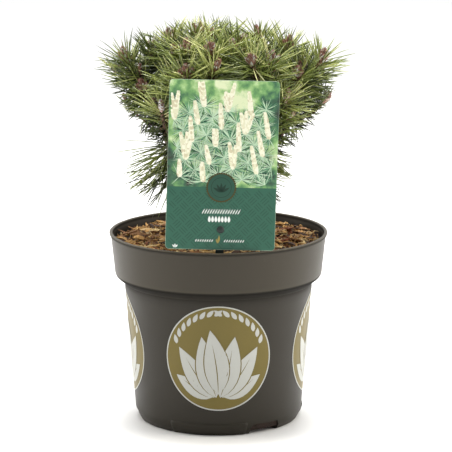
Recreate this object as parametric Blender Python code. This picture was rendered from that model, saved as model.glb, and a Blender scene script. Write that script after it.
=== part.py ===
"""A young mugo pine in its round nursery pot, with the picture label that stands in the soil on a peg.

The pot stands on z = 0 with its axis on the Z axis. The label faces -Y. All sizes are in metres.
"""

import math
import random
from collections import namedtuple

import bmesh
import bpy
import numpy as np
from mathutils import Matrix, Vector

MM = 0.001
UP = Vector((0.0, 0.0, 1.0))

# Clearances
GAP = 0.3 * MM
STEM_GAP = 0.55 * MM
SOIL_CLEARANCE = 0.45 * MM
SLOT_CLEARANCE = 0.4 * MM
LIMB_CLEARANCE = 0.6 * MM
CARD_CLEARANCE = 3.0 * MM
FACET_CLEARANCE = 0.02 * MM

# The pot: a 19 cm container, turned about Z
POT_HEIGHT = 166.5 * MM
LIP_RADIUS = 95.4 * MM
LIP_DEPTH = 2.6 * MM
LIP_PROUD = 1.2 * MM
LIP_SHAPE = ((1.0, 1.0), (0.0, 0.8), (0.0, 0.2), (0.4, 0.0))
COLLAR_FOOT_RADIUS = 90.5 * MM
COLLAR_FOOT_HEIGHT = 128.8 * MM
BODY_TOP_RADIUS = 82.4 * MM
BODY_TOP_HEIGHT = 122.4 * MM
BODY_FOOT_RADIUS = 73.3 * MM
BODY_FOOT_HEIGHT = 9.5 * MM
FOOT_TOP_RADIUS = 71.9 * MM
FOOT_TOP_HEIGHT = 5.0 * MM
FOOT_RADIUS = 69.2 * MM
POT_WALL = 1.5 * MM
SHOULDER_RISE = 0.6 * MM
POT_FLOOR = 3.0 * MM
POT_SIDES = 48

# The drain notches round the foot
NOTCH_COUNT = 3
NOTCH_FIRST_DEG = -90.0 + 34.7
NOTCH_SPAN_DEG = 24.0
NOTCH_HEIGHT = 9.0 * MM
NOTCH_REACH = 17.0 * MM

# The soil, a low mound with two sets of waves on it, given in radians per metre along X and Y
SOIL_HEIGHT = 155.0 * MM
SOIL_MOUND = 2.0 * MM
SOIL_RINGS = 6
SOIL_INNER_RADIUS = 15.5 * MM
SOIL_FLAT_RADIUS = 16.0 * MM
LUMP_HEIGHT = 1.2 * MM
LUMP_WAVES = (190.0, 170.0)
LUMP_SHIFT = 1.0
RIDGE_HEIGHT = 0.7 * MM
RIDGE_WAVES = (90.0, -260.0)

# The label card, which leans back on its peg and hangs over the pot's lip at its lower right corner
CARD_WIDTH = 92.5 * MM
CARD_HEIGHT = 144.0 * MM
CARD_THICKNESS = 0.7 * MM
CARD_CORNER = 3.0 * MM
CARD_CORNER_STEPS = 3
CARD_FOOT = Vector((1.4, -88.6, 168.4)) * MM
CARD_YAW_DEG = 3.0
CARD_LEAN_DEG = 2.0
CARD_ROLL_DEG = 1.9
CARD_HOLE_RADIUS = 2.1 * MM
CARD_HOLE_DEPTH = 3.0 * MM
STUD_HEIGHT = 17.2 * MM

# The peg that holds the card
PEG_WIDTH = 7.0 * MM
PEG_THICKNESS = 1.8 * MM
PEG_ABOVE_STUD = 5.0 * MM
PEG_BEND_HEIGHT = 166.0 * MM
PEG_FOOT_HEIGHT = 138.0 * MM
PIN_RADIUS = 1.6 * MM
BUTTON_RADIUS = 3.1 * MM
BUTTON_THICKNESS = 1.8 * MM
ROUND_SIDES = 16

# The trunk, a short leaning stem that forks low down; its line is measured from its foot on the soil
TRUNK_LINE = tuple(
    Vector(point) * MM
    for point in ((0.0, 0.0, 0.0), (2.5, -2.0, 34.0), (-1.5, 2.0, 66.0), (-3.0, 2.0, 92.0))
)
TRUNK_FLARE_RADIUS = 10.5 * MM
TRUNK_FLARE_HEIGHT = 9.0 * MM
TRUNK_RADIUS = 8.0 * MM
TRUNK_TOP_RADIUS = 3.6 * MM
TRUNK_SIDES = 12
TRUNK_RINGS = 12

# Each bough leaves the trunk at its fork height and carries a mass of needles that ends in a bud at its
# reach and height. Its oldest needles are as long as its last value. Sizes are in millimetres and angles
# in degrees, 0 at +X and 270 at the front.
Bough = namedtuple("Bough", "name azimuth reach height fork radius rise_start rise_end shoots needle")
BOUGHS = (
    Bough("right", 0, 93, 326, 189, 4.3, 42, 66, 3, 29),
    Bough("left", 180, 84, 327, 201, 4.2, 42, 64, 3, 27),
    Bough("back_left", 134, 78, 318, 188, 4.0, 42, 66, 3, 29),
    Bough("back_right", 46, 84, 316, 170, 4.0, 42, 66, 3, 29),
    Bough("back", 92, 78, 322, 178, 3.8, 44, 68, 3, 30),
    Bough("front_right", 323, 59, 329, 198, 3.8, 48, 72, 3, 30),
    Bough("front_left", 245, 66, 321, 192, 3.8, 46, 72, 3, 30),
    Bough("left_lower", 216, 70, 288, 183, 3.4, 38, 54, 2, 22),
    Bough("right_lower", 326, 74, 296, 176, 3.4, 38, 56, 2, 24),
    Bough("left_top", 170, 45, 343, 215, 3.2, 58, 76, 2, 30),
    Bough("right_top", 17, 66, 335, 205, 3.2, 54, 74, 2, 30),
    Bough("front_top_left", 226, 40, 339, 206, 3.0, 60, 80, 1, 30),
    Bough("front_top_right", 301, 24, 337, 218, 3.0, 64, 84, 1, 30),
    Bough("back_top", 84, 44, 338, 212, 3.0, 60, 80, 2, 30),
    Bough("low_left", 198, 47, 256, 171, 2.6, 20, 84, 0, 46),
    Bough("low_right", 346, 42, 250, 163, 2.6, 20, 84, 0, 27),
    Bough("low_back", 108, 50, 246, 166, 2.6, 28, 80, 0, 36),
)
LEADER_TIP = Vector((-6.0, 3.0, 343.0)) * MM
LEADER_SHOOTS = 2
LEADER_NEEDLE = 30.0 * MM
BARE_SHARE = 0.45
BOUGH_END_TAPER = 0.8
BOUGH_SIDES = 7
BOUGH_RINGS = 6
LINE_STEPS = 32
HANDLE = 0.38

# Side shoots, which leave a mass's stem at a wide angle and turn up
SHOOT_LENGTH = 44.0 * MM
SHOOT_LENGTH_SPREAD = 0.2
SHOOT_FIRST = 0.15
SHOOT_LAST = 0.66
SHOOT_ANGLE = math.radians(52.0)
SHOOT_LIFT = 0.55
SHOOT_RADIUS = 2.2 * MM
SHOOT_TRIES = 9
SHOOT_SPACE = 8.0 * MM
SHOOT_ROOT_PART = 3
SHOOT_SIDES = 5
SHOOT_RINGS = 3
STEM_SIDES = 6
STEM_RINGS = 5
TIP_RADIUS = 1.9 * MM

# One long thin twig that leaves the left mass's stem and droops before it turns up
TWIG_OWNER = "left"
TWIG_SHARE = 0.06
TWIG_AZIMUTH = math.radians(188.0)
TWIG_TIP = Vector((-82.0, -2.0, 286.0)) * MM
TWIG_START_RISE = math.radians(2.0)
TWIG_END_RISE = math.radians(62.0)
TWIG_RADIUS = 1.1 * MM
TWIG_BARE = 0.72
TWIG_NEEDLE = 18.0 * MM

# The bud at the end of each stem and shoot: rings at shares of its length, as multiples of the tip's radius
BUD_LENGTH = 13.0 * MM
BUD_SHAPE = ((0.0, 1.0), (0.3, 1.5), (0.7, 1.15))

# The crown's outline: a low dome over a cone that widens upward from a waist. Masses whose name starts
# with HANGING stand in the waist, and their needles stay long and hang down past it.
CROWN_MIDDLE_X = 4.0 * MM
CROWN_TOP = 356.0 * MM
CROWN_DOME = 1.9
WAIST_HEIGHT = 238.0 * MM
WAIST_RADIUS = 64.0 * MM
WAIST_FLARE = 0.63
HANGING = "low"
HANGING_ANGLE = math.radians(103.0)

# Needles: each stands for a sheaf of real ones, so there are fewer and they are thicker
NEEDLE_TIP_LENGTH = 30.0 * MM
NEEDLE_LENGTH_SPREAD = 0.12
NEEDLE_RADIUS = 1.6 * MM
NEEDLE_SPACING = 2.5 * MM
NEEDLE_FIRST = 5.0 * MM
NEEDLE_OLD_ANGLE = math.radians(98.0)
NEEDLE_TIP_ANGLE = math.radians(50.0)
NEEDLE_SINK = 0.4
NEEDLE_TRIMS = (1.0, 0.9, 0.8, 0.7, 0.6)
SPACE_MARGIN = 2.2 * MM
NEEDLE_SAMPLES = 8
NEEDLE_SAMPLE_FIRST = 0.15
FOLIAGE_FLOOR = 190.0 * MM

GOLDEN_ANGLE = math.radians(137.508)
SEED = 19
SOLVERS = ("EXACT", "MANIFOLD")

Shoot = namedtuple("Shoot", "line radius sides rings bare")


# Scene and materials


def clear_scene():
    for thing in list(bpy.data.objects):
        bpy.data.objects.remove(thing, do_unlink=True)
    for mesh in list(bpy.data.meshes):
        bpy.data.meshes.remove(mesh)


def material(name, colour, roughness):
    """A plain Principled material, made once for each name."""
    found = bpy.data.materials.get(name)
    if found:
        return found
    made = bpy.data.materials.new(name)
    made.use_nodes = True
    shader = made.node_tree.nodes["Principled BSDF"]
    shader.inputs["Base Color"].default_value = (*colour, 1.0)
    shader.inputs["Roughness"].default_value = roughness
    made.diffuse_color = (*colour, 1.0)
    return made


def plastic():
    return material("pot_plastic", (0.105, 0.094, 0.082), 0.55)


def soil_matter():
    return material("soil", (0.09, 0.05, 0.028), 0.95)


def bark():
    return material("bark", (0.12, 0.065, 0.045), 0.9)


def needle_green():
    return material("needles", (0.11, 0.17, 0.035), 0.5)


def card_print():
    return material("label_print", (0.05, 0.15, 0.09), 0.4)


def peg_plastic():
    return material("peg_plastic", (0.04, 0.045, 0.04), 0.5)


# Meshes


def mesh_object(name, vertices, faces, matter, smooth=False):
    mesh = bpy.data.meshes.new(name)
    mesh.from_pydata([tuple(v) for v in vertices], [], faces)
    mesh.materials.append(matter)
    made = bpy.data.objects.new(name, mesh)
    bpy.context.scene.collection.objects.link(made)
    work = bmesh.new()
    work.from_mesh(mesh)
    bmesh.ops.recalc_face_normals(work, faces=work.faces)
    work.to_mesh(mesh)
    work.free()
    if smooth:
        mesh.shade_smooth()
    return made


def lathe(name, profile, sides, matter, lift=None):
    """A closed turned solid. The profile runs from the axis round to the axis again, as (radius, height).

    lift, where it is given, moves a vertex up by an amount worked out from its place.
    """
    vertices = [Vector((0.0, 0.0, profile[0][1]))]
    rings = profile[1:-1]
    for radius, height in rings:
        for i in range(sides):
            turn = 2.0 * math.pi * i / sides
            vertices.append(Vector((radius * math.cos(turn), radius * math.sin(turn), height)))
    vertices.append(Vector((0.0, 0.0, profile[-1][1])))
    if lift:
        for vertex in vertices:
            vertex.z += lift(vertex)
    last = len(vertices) - 1
    faces = []
    for i in range(sides):
        j = (i + 1) % sides
        faces.append((0, 1 + j, 1 + i))
        for ring in range(len(rings) - 1):
            low = 1 + ring * sides
            high = low + sides
            faces.append((low + i, low + j, high + j, high + i))
        end = 1 + (len(rings) - 1) * sides
        faces.append((end + i, end + j, last))
    return mesh_object(name, vertices, faces, matter, smooth=True)


def tube(name, line, radii, sides, matter, pointed=False, level_foot=False):
    """A closed tube of one ring round each point of the line, with flat ends or with a pointed far end."""
    ways = []
    for i, _ in enumerate(line):
        before = line[max(i - 1, 0)]
        after = line[min(i + 1, len(line) - 1)]
        ways.append((after - before).normalized())
    if level_foot:
        ways[0] = UP
    side, _ = square_to(ways[0])
    vertices = []
    ringed = line[:-1] if pointed else line
    for point, along, radius in zip(ringed, ways, radii):
        side = (side - along * side.dot(along)).normalized()
        over = along.cross(side)
        for i in range(sides):
            turn = 2.0 * math.pi * i / sides
            vertices.append(point + (side * math.cos(turn) + over * math.sin(turn)) * radius)
    faces = [tuple(reversed(range(sides)))]
    for ring in range(len(ringed) - 1):
        low = ring * sides
        for i in range(sides):
            j = (i + 1) % sides
            faces.append((low + i, low + j, low + sides + j, low + sides + i))
    end = (len(ringed) - 1) * sides
    if pointed:
        vertices.append(line[-1])
        faces += [(end + i, end + (i + 1) % sides, len(vertices) - 1) for i in range(sides)]
    else:
        faces.append(tuple(range(end, end + sides)))
    return mesh_object(name, vertices, faces, matter, smooth=True)


def box(name, corners, matter):
    """A closed box of eight corners: four round the bottom, then the four above them."""
    faces = ((0, 3, 2, 1), (4, 5, 6, 7), (0, 1, 5, 4), (1, 2, 6, 5), (2, 3, 7, 6), (3, 0, 4, 7))
    return mesh_object(name, corners, faces, matter)


def needle(name, root, direction, length, matter):
    """One needle: a long three-sided spike, its wide end sunk in the shoot."""
    side, over = square_to(direction)
    vertices = []
    for i in range(3):
        turn = 2.0 * math.pi * i / 3
        vertices.append(root + (side * math.cos(turn) + over * math.sin(turn)) * NEEDLE_RADIUS)
    vertices.append(root + direction * length)
    return mesh_object(name, vertices, ((0, 2, 1), (0, 1, 3), (1, 2, 3), (2, 0, 3)), matter)


# Boolean helpers


def apply_modifiers(made):
    with bpy.context.temp_override(object=made, active_object=made, selected_objects=[made]):
        for modifier in list(made.modifiers):
            bpy.ops.object.modifier_apply(modifier=modifier.name)


def is_closed(mesh):
    """Whether every edge of a mesh lies between exactly two faces."""
    work = bmesh.new()
    work.from_mesh(mesh)
    closed = all(edge.is_manifold for edge in work.edges)
    work.free()
    return closed


def combine(made, operation, other=None, group=None):
    """Cut a solid by another, or unite it with a collection, by the first solver that leaves it closed."""
    before = made.data
    for solver in SOLVERS:
        made.data = before.copy()
        modifier = made.modifiers.new("combine", "BOOLEAN")
        modifier.operation = operation
        modifier.solver = solver
        if group:
            modifier.operand_type = "COLLECTION"
            modifier.collection = group
        else:
            modifier.object = other
        apply_modifiers(made)
        if is_closed(made.data):
            break
    made.data.name = made.name
    keep_main_shell(made)


def cut(made, cutter):
    """Take the cutter's shape out of a solid, then remove the cutter."""
    cutter.hide_render = True
    cutter.display_type = "WIRE"
    combine(made, "DIFFERENCE", other=cutter)
    bpy.data.objects.remove(cutter, do_unlink=True)


def join(made, others):
    """Unite a solid with all the others by one Boolean on their collection, then remove them."""
    group = bpy.data.collections.new(made.name + "_joined")
    bpy.context.scene.collection.children.link(group)
    for other in others:
        bpy.context.scene.collection.objects.unlink(other)
        group.objects.link(other)
        other.hide_render = True
        other.display_type = "WIRE"
    combine(made, "UNION", group=group)
    for other in others:
        bpy.data.objects.remove(other, do_unlink=True)
    bpy.data.collections.remove(group)


def keep_main_shell(made):
    """Keep the largest shell of a mesh, so that a sealed hollow is filled and a loose scrap is dropped."""
    work = bmesh.new()
    work.from_mesh(made.data)
    unseen = set(work.verts)
    shells = []
    while unseen:
        front = [unseen.pop()]
        shell = set(front)
        while front:
            for edge in front.pop().link_edges:
                for vertex in edge.verts:
                    if vertex in unseen:
                        unseen.remove(vertex)
                        shell.add(vertex)
                        front.append(vertex)
        shells.append(shell)
    shells.sort(key=len)
    for shell in shells[:-1]:
        bmesh.ops.delete(work, geom=list(shell), context="VERTS")
    work.to_mesh(made.data)
    work.free()


# Lines and directions


def rng_for(name):
    """A random stream of its own for each named piece, so that one piece's draws never move another's."""
    return random.Random(f"{SEED} {name}")


def curve(a, b, c, d, steps=LINE_STEPS):
    """Points along the cubic curve with these four control points."""
    line = []
    for i in range(steps + 1):
        t = i / steps
        s = 1.0 - t
        line.append(a * s**3 + b * (3 * s * s * t) + c * (3 * s * t * t) + d * t**3)
    return line


def reach_curve(start, start_way, end, end_way):
    """The curve that leaves start along start_way and arrives at end along end_way."""
    handle = (end - start).length * HANDLE
    return curve(start, start + start_way * handle, end - end_way * handle, end)


def point_at(line, share):
    """The point a share of the way along a line, and the line's direction there."""
    place = min(max(share, 0.0), 1.0) * (len(line) - 1)
    i = min(int(place), len(line) - 2)
    step = line[i + 1] - line[i]
    return line[i] + step * (place - i), step.normalized()


def stretch(line, start, end, steps=LINE_STEPS):
    """The stretch of a line between two shares of its length."""
    return [point_at(line, start + (end - start) * i / steps)[0] for i in range(steps + 1)]


def length_of(line):
    return sum((b - a).length for a, b in zip(line, line[1:]))


def way(azimuth, rise):
    """The unit direction at an azimuth and a rise above the horizon, both in radians."""
    return Vector((math.cos(azimuth) * math.cos(rise), math.sin(azimuth) * math.cos(rise), math.sin(rise)))


def square_to(direction):
    """Two unit vectors square to a direction and to each other."""
    side = direction.cross(UP)
    if side.length < 1e-3:
        side = direction.cross(Vector((1.0, 0.0, 0.0)))
    side.normalize()
    return side, side.cross(direction).normalized()


def turned(direction, angle, round_angle):
    """The direction that makes an angle with another, swung round it by round_angle."""
    side, over = square_to(direction)
    radial = side * math.cos(round_angle) + over * math.sin(round_angle)
    return (direction * math.cos(angle) + radial * math.sin(angle)).normalized()


# Pot and soil


def inner_profile():
    """The inside of the pot from its floor to its mouth, as (radius, height)."""
    return (
        (FOOT_TOP_RADIUS - POT_WALL, POT_FLOOR),
        (BODY_FOOT_RADIUS - POT_WALL, BODY_FOOT_HEIGHT),
        (BODY_TOP_RADIUS - POT_WALL, BODY_TOP_HEIGHT + SHOULDER_RISE),
        (COLLAR_FOOT_RADIUS - POT_WALL, COLLAR_FOOT_HEIGHT + SHOULDER_RISE),
        (LIP_RADIUS - LIP_PROUD - POT_WALL, POT_HEIGHT - LIP_DEPTH),
    )


def make_pot():
    """The pot: a tapering body, a wider collar above a sloping shoulder, and a thin rolled lip."""
    lip = [(LIP_RADIUS - LIP_PROUD * inset, POT_HEIGHT - LIP_DEPTH * drop) for inset, drop in LIP_SHAPE]
    outside = (
        (0.0, 0.0),
        (FOOT_RADIUS, 0.0),
        (FOOT_TOP_RADIUS, FOOT_TOP_HEIGHT),
        (BODY_FOOT_RADIUS, BODY_FOOT_HEIGHT),
        (BODY_TOP_RADIUS, BODY_TOP_HEIGHT),
        (COLLAR_FOOT_RADIUS, COLLAR_FOOT_HEIGHT),
        *lip,
        (LIP_RADIUS - LIP_PROUD - POT_WALL, POT_HEIGHT),
    )
    inside = tuple(reversed(inner_profile()))
    pot = lathe("pot", (*outside, *inside, (0.0, POT_FLOOR)), POT_SIDES, plastic())
    for i in range(NOTCH_COUNT):
        cut(pot, notch_cutter(math.radians(NOTCH_FIRST_DEG + 360.0 * i / NOTCH_COUNT)))
    return pot


def notch_cutter(middle):
    """A wedge that opens the wall and the edge of the floor at the foot, centred on the angle middle."""
    half = math.radians(NOTCH_SPAN_DEG) / 2.0
    near = FOOT_RADIUS - NOTCH_REACH
    far = BODY_TOP_RADIUS + NOTCH_REACH
    corners = []
    for height in (-NOTCH_HEIGHT, NOTCH_HEIGHT):
        for radius, turn in ((near, -half), (far, -half), (far, half), (near, half)):
            angle = middle + turn
            corners.append(Vector((radius * math.cos(angle), radius * math.sin(angle), height)))
    return box("notch", corners, plastic())


def soil_bumps(vertex):
    """How far a vertex of the soil's top is raised: a low mound with lumps, level under the trunk."""
    radius = math.hypot(vertex.x, vertex.y)
    edge = inner_profile()[-1][0]
    if vertex.z < SOIL_HEIGHT - MM or radius < SOIL_FLAT_RADIUS:
        return 0.0
    lump = math.sin(vertex.x * LUMP_WAVES[0] + LUMP_SHIFT) * math.cos(vertex.y * LUMP_WAVES[1])
    ridge = math.sin(vertex.x * RIDGE_WAVES[0] + vertex.y * RIDGE_WAVES[1])
    return LUMP_HEIGHT * lump + RIDGE_HEIGHT * ridge + SOIL_MOUND * (1.0 - radius / edge)


def make_soil():
    """The filling, which stays a small gap clear of the pot, with a slot for the peg."""
    profile = [(0.0, POT_FLOOR + SOIL_CLEARANCE)]
    for radius, height in inner_profile()[:-1]:
        profile.append((radius - SOIL_CLEARANCE, height + SOIL_CLEARANCE))
    low, high = inner_profile()[-2:]
    share = (SOIL_HEIGHT - low[1]) / (high[1] - low[1])
    edge = low[0] + (high[0] - low[0]) * share - SOIL_CLEARANCE
    for i in range(SOIL_RINGS):
        profile.append((edge + (SOIL_INNER_RADIUS - edge) * i / (SOIL_RINGS - 1), SOIL_HEIGHT))
    profile.append((0.0, SOIL_HEIGHT))
    soil = lathe("soil", profile, POT_SIDES, soil_matter(), lift=soil_bumps)
    cut(soil, peg_strip("slot", SLOT_CLEARANCE))
    return soil


# Label


def card_frame():
    """The card's own frame: x along its width, y through it to the back, z up it from its bottom edge."""
    turn = Matrix.Rotation(math.radians(CARD_YAW_DEG), 4, "Z")
    lean = Matrix.Rotation(math.radians(-CARD_LEAN_DEG), 4, "X")
    roll = Matrix.Rotation(math.radians(CARD_ROLL_DEG), 4, "Y")
    return Matrix.Translation(CARD_FOOT) @ turn @ lean @ roll


def rounded_outline():
    """The card's outline from its lower right corner round to the left, in its own x and z."""
    half = CARD_WIDTH / 2.0 - CARD_CORNER
    centres = (
        (half, CARD_CORNER, -90.0),
        (half, CARD_HEIGHT - CARD_CORNER, 0.0),
        (-half, CARD_HEIGHT - CARD_CORNER, 90.0),
        (-half, CARD_CORNER, 180.0),
    )
    points = []
    for x, z, first in centres:
        for i in range(CARD_CORNER_STEPS + 1):
            turn = math.radians(first + 90.0 * i / CARD_CORNER_STEPS)
            points.append((x + CARD_CORNER * math.cos(turn), z + CARD_CORNER * math.sin(turn)))
    return points


def pin(name, radius, front, back):
    """A short round bar through the stud's place, from front to back in the card's own y."""
    frame = card_frame()
    line = [frame @ Vector((0.0, y, STUD_HEIGHT)) for y in (front, back)]
    return tube(name, line, [radius, radius], ROUND_SIDES, peg_plastic())


def make_card():
    frame = card_frame()
    outline = rounded_outline()
    count = len(outline)
    vertices = [frame @ Vector((x, y, z)) for y in (0.0, CARD_THICKNESS) for x, z in outline]
    faces = [tuple(range(count)), tuple(reversed(range(count, 2 * count)))]
    for i in range(count):
        j = (i + 1) % count
        faces.append((i, j, count + j, count + i))
    card = mesh_object("label_card", vertices, faces, card_print())
    cut(card, pin("hole", CARD_HOLE_RADIUS, -CARD_HOLE_DEPTH, CARD_HOLE_DEPTH))
    return card


def peg_strip(name, extra):
    """The peg's flat stem: upright in the soil, then leaning with the card behind its back."""
    frame = card_frame()
    front = CARD_THICKNESS + GAP
    back = front + PEG_THICKNESS
    bend = -(CARD_FOOT.z - PEG_BEND_HEIGHT)
    half = PEG_WIDTH / 2.0 + extra
    rings = []
    for z in (STUD_HEIGHT + PEG_ABOVE_STUD, bend):
        rings.append([frame @ Vector((x, y, z)) for x, y in box_ring(half, front - extra, back + extra)])
    rings.append([Vector((p.x, p.y, PEG_FOOT_HEIGHT - extra)) for p in rings[-1]])
    vertices = [p for ring in reversed(rings) for p in ring]
    faces = [(3, 2, 1, 0), (8, 9, 10, 11)]
    for ring in (0, 4):
        for i in range(4):
            j = (i + 1) % 4
            faces.append((ring + i, ring + j, ring + 4 + j, ring + 4 + i))
    return mesh_object(name, vertices, faces, peg_plastic())


def box_ring(half, front, back):
    return ((-half, front), (half, front), (half, back), (-half, back))


def make_peg():
    """The peg, with the pin through the card's hole and the round stud that holds the card on it."""
    peg = peg_strip("label_peg", 0.0)
    back = CARD_THICKNESS + GAP + PEG_THICKNESS / 2.0
    stud_back = -GAP
    stud_front = stud_back - BUTTON_THICKNESS
    bar = pin("bar", PIN_RADIUS, stud_front + BUTTON_THICKNESS / 2.0, back)
    stud = pin("stud", BUTTON_RADIUS, stud_front, stud_back)
    join(peg, [bar, stud])
    return peg


# The plant's skeleton


def trunk_line():
    foot = Vector((0.0, 0.0, SOIL_HEIGHT + GAP))
    return curve(*(foot + point for point in TRUNK_LINE))


def trunk_radii(line, extra=0.0):
    """The trunk's radius at each point: a root flare at the foot, then an even taper."""
    radii = []
    for i, point in enumerate(line):
        share = i / (len(line) - 1)
        plain = TRUNK_RADIUS + (TRUNK_TOP_RADIUS - TRUNK_RADIUS) * share
        flare = max(0.0, 1.0 - (point.z - line[0].z) / TRUNK_FLARE_HEIGHT)
        radii.append(plain + (TRUNK_FLARE_RADIUS - TRUNK_RADIUS) * flare * flare + extra)
    return radii


def bough_line(row, trunk):
    """A row's whole line, from the trunk's middle at its fork to the tip of its bud."""
    share = (row.fork * MM - trunk[0].z) / (trunk[-1].z - trunk[0].z)
    root, _ = point_at(trunk, share)
    azimuth = math.radians(row.azimuth)
    tip = way(azimuth, 0.0) * (row.reach * MM) + UP * (row.height * MM)
    out = tip - root
    heading = math.atan2(out.y, out.x)
    start_way = way(heading, math.radians(row.rise_start))
    end_way = way(heading, math.radians(row.rise_end))
    return reach_curve(root, start_way, tip, end_way)


def stem_from(line, start, radius):
    """A mass's main stem, which starts a small gap beyond the limb's end."""
    gap_share = STEM_GAP / length_of(line)
    return Shoot(stretch(line, start + gap_share, 1.0), radius, STEM_SIDES, STEM_RINGS, 0.0)


def nearest(points, others):
    """For each point, its distance to the nearest of the others."""
    return np.linalg.norm(points[:, None, :] - others[None, :, :], axis=2).min(axis=1)


def as_array(line):
    return np.array([tuple(point) for point in line])


def side_shoots(name, stem, count, taken):
    """The shoots that leave a mass's stem, each turned on by the golden angle until it has room to grow."""
    rng = rng_for(name)
    turn = rng.uniform(0.0, 2.0 * math.pi)
    shoots = []
    for i in range(count):
        share = SHOOT_FIRST + (SHOOT_LAST - SHOOT_FIRST) * (i + 0.5) / count
        root, along = point_at(stem.line, share)
        length = SHOOT_LENGTH * (1.0 + SHOOT_LENGTH_SPREAD * rng.uniform(-1.0, 1.0))
        for _ in range(SHOOT_TRIES):
            turn += GOLDEN_ANGLE
            first_way = turned(along, SHOOT_ANGLE, turn)
            last_way = (first_way * (1.0 - SHOOT_LIFT) + UP * SHOOT_LIFT).normalized()
            tip = root + (first_way + last_way).normalized() * length
            line = reach_curve(root, first_way, tip, last_way)
            if has_room(line, taken):
                shoots.append(Shoot(line, SHOOT_RADIUS, SHOOT_SIDES, SHOOT_RINGS, 0.0))
                taken.append(as_array(line))
                break
    return shoots


def thin_twig(stem):
    root, _ = point_at(stem.line, TWIG_SHARE)
    line = reach_curve(root, way(TWIG_AZIMUTH, TWIG_START_RISE), TWIG_TIP, way(TWIG_AZIMUTH, TWIG_END_RISE))
    return Shoot(line, TWIG_RADIUS, SHOOT_SIDES, STEM_RINGS, TWIG_BARE)


def has_room(line, taken):
    """Whether a shoot keeps in the crown and clear of the card and of all that has grown but its own stem."""
    outer = as_array(line[len(line) // SHOOT_ROOT_PART :])
    if near_card(outer, SHOOT_SPACE).any() or not in_crown(outer, True).all():
        return False
    return nearest(outer, np.concatenate(taken)).min() > SHOOT_SPACE


def in_crown(points, has_waist):
    """Which points lie inside the crown's outline, under its dome and, with a waist, inside its cone."""
    radius = np.hypot(points[:, 0] - CROWN_MIDDLE_X, points[:, 1])
    inside = points[:, 2] < CROWN_TOP - CROWN_DOME * radius**2
    if has_waist:
        inside &= radius < WAIST_RADIUS + WAIST_FLARE * (points[:, 2] - WAIST_HEIGHT)
    return inside


def near_card(points, margin):
    """Which points lie in front of the card's back, or within a margin of it, below its top edge."""
    inverse = card_frame().inverted()
    local = np.array([tuple(inverse @ Vector(p)) for p in points.tolist()])
    across = np.abs(local[:, 0]) < CARD_WIDTH / 2.0 + margin
    below = local[:, 2] < CARD_HEIGHT + margin
    return across & below & (local[:, 1] < CARD_THICKNESS + margin)


def grow():
    """The skeleton: the trunk's line, each bough's line and radius, and the shoots of each mass."""
    trunk = trunk_line()
    boughs = {}
    masses = {}
    for row in BOUGHS:
        line = bough_line(row, trunk)
        radius = row.radius * MM
        boughs[row.name] = (stretch(line, 0.0, BARE_SHARE), radius)
        masses[row.name] = [stem_from(line, BARE_SHARE, radius * BOUGH_END_TAPER)]
    top_way = (trunk[-1] - trunk[-2]).normalized()
    leader = reach_curve(trunk[-1], top_way, LEADER_TIP, UP)
    masses["leader"] = [stem_from(leader, 0.0, TRUNK_TOP_RADIUS)]
    masses[TWIG_OWNER].append(thin_twig(masses[TWIG_OWNER][0]))
    taken = [as_array(line) for line, _ in boughs.values()]
    taken += [as_array(shoot.line) for shoots in masses.values() for shoot in shoots]
    counts = {row.name: row.shoots for row in BOUGHS}
    counts["leader"] = LEADER_SHOOTS
    for name, shoots in masses.items():
        shoots += side_shoots(name, shoots[0], counts[name], taken)
    return trunk, boughs, masses


# Limbs


def make_trunk(trunk):
    line = stretch(trunk, 0.0, 1.0, TRUNK_RINGS)
    return tube("trunk", line, trunk_radii(line), TRUNK_SIDES, bark(), level_foot=True)


def make_bough(name, line, radius, trunk):
    """One tapering limb, its root cut to lie against the trunk with a small gap."""
    line = stretch(line, 0.0, 1.0, BOUGH_RINGS)
    radii = [radius * (1.0 + (BOUGH_END_TAPER - 1.0) * i / BOUGH_RINGS) for i in range(BOUGH_RINGS + 1)]
    bough = tube("bough_" + name, line, radii, BOUGH_SIDES, bark())
    core = stretch(trunk, 0.0, 1.0, TRUNK_RINGS)
    extra = GAP / math.cos(math.pi / TRUNK_SIDES) + FACET_CLEARANCE
    cut(bough, tube("core", core, trunk_radii(core, extra), TRUNK_SIDES, bark(), level_foot=True))
    return bough


# Masses of needles


def shoot_solid(name, shoot):
    """A stem or shoot with the bud at its end."""
    length = length_of(shoot.line)
    wood = 1.0 - BUD_LENGTH / length
    tip_radius = min(TIP_RADIUS, shoot.radius)
    line = []
    radii = []
    for i in range(shoot.rings):
        share = i / shoot.rings
        line.append(point_at(shoot.line, wood * share)[0])
        radii.append(shoot.radius + (tip_radius - shoot.radius) * share)
    for share, bulge in BUD_SHAPE:
        line.append(point_at(shoot.line, wood + (1.0 - wood) * share)[0])
        radii.append(tip_radius * bulge)
    line.append(shoot.line[-1])
    return tube(name, line, radii, shoot.sides, needle_green(), pointed=True)


def needle_habit(name, shoot):
    """The oldest needles' length and angle to a shoot of the named mass, then the youngest needles' own."""
    if shoot.bare:
        return TWIG_NEEDLE, NEEDLE_OLD_ANGLE, TWIG_NEEDLE, NEEDLE_TIP_ANGLE
    oldest = {row.name: row.needle * MM for row in BOUGHS}.get(name, LEADER_NEEDLE)
    if name.startswith(HANGING):
        return oldest, HANGING_ANGLE, oldest, HANGING_ANGLE
    return oldest, NEEDLE_OLD_ANGLE, NEEDLE_TIP_LENGTH, NEEDLE_TIP_ANGLE


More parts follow.
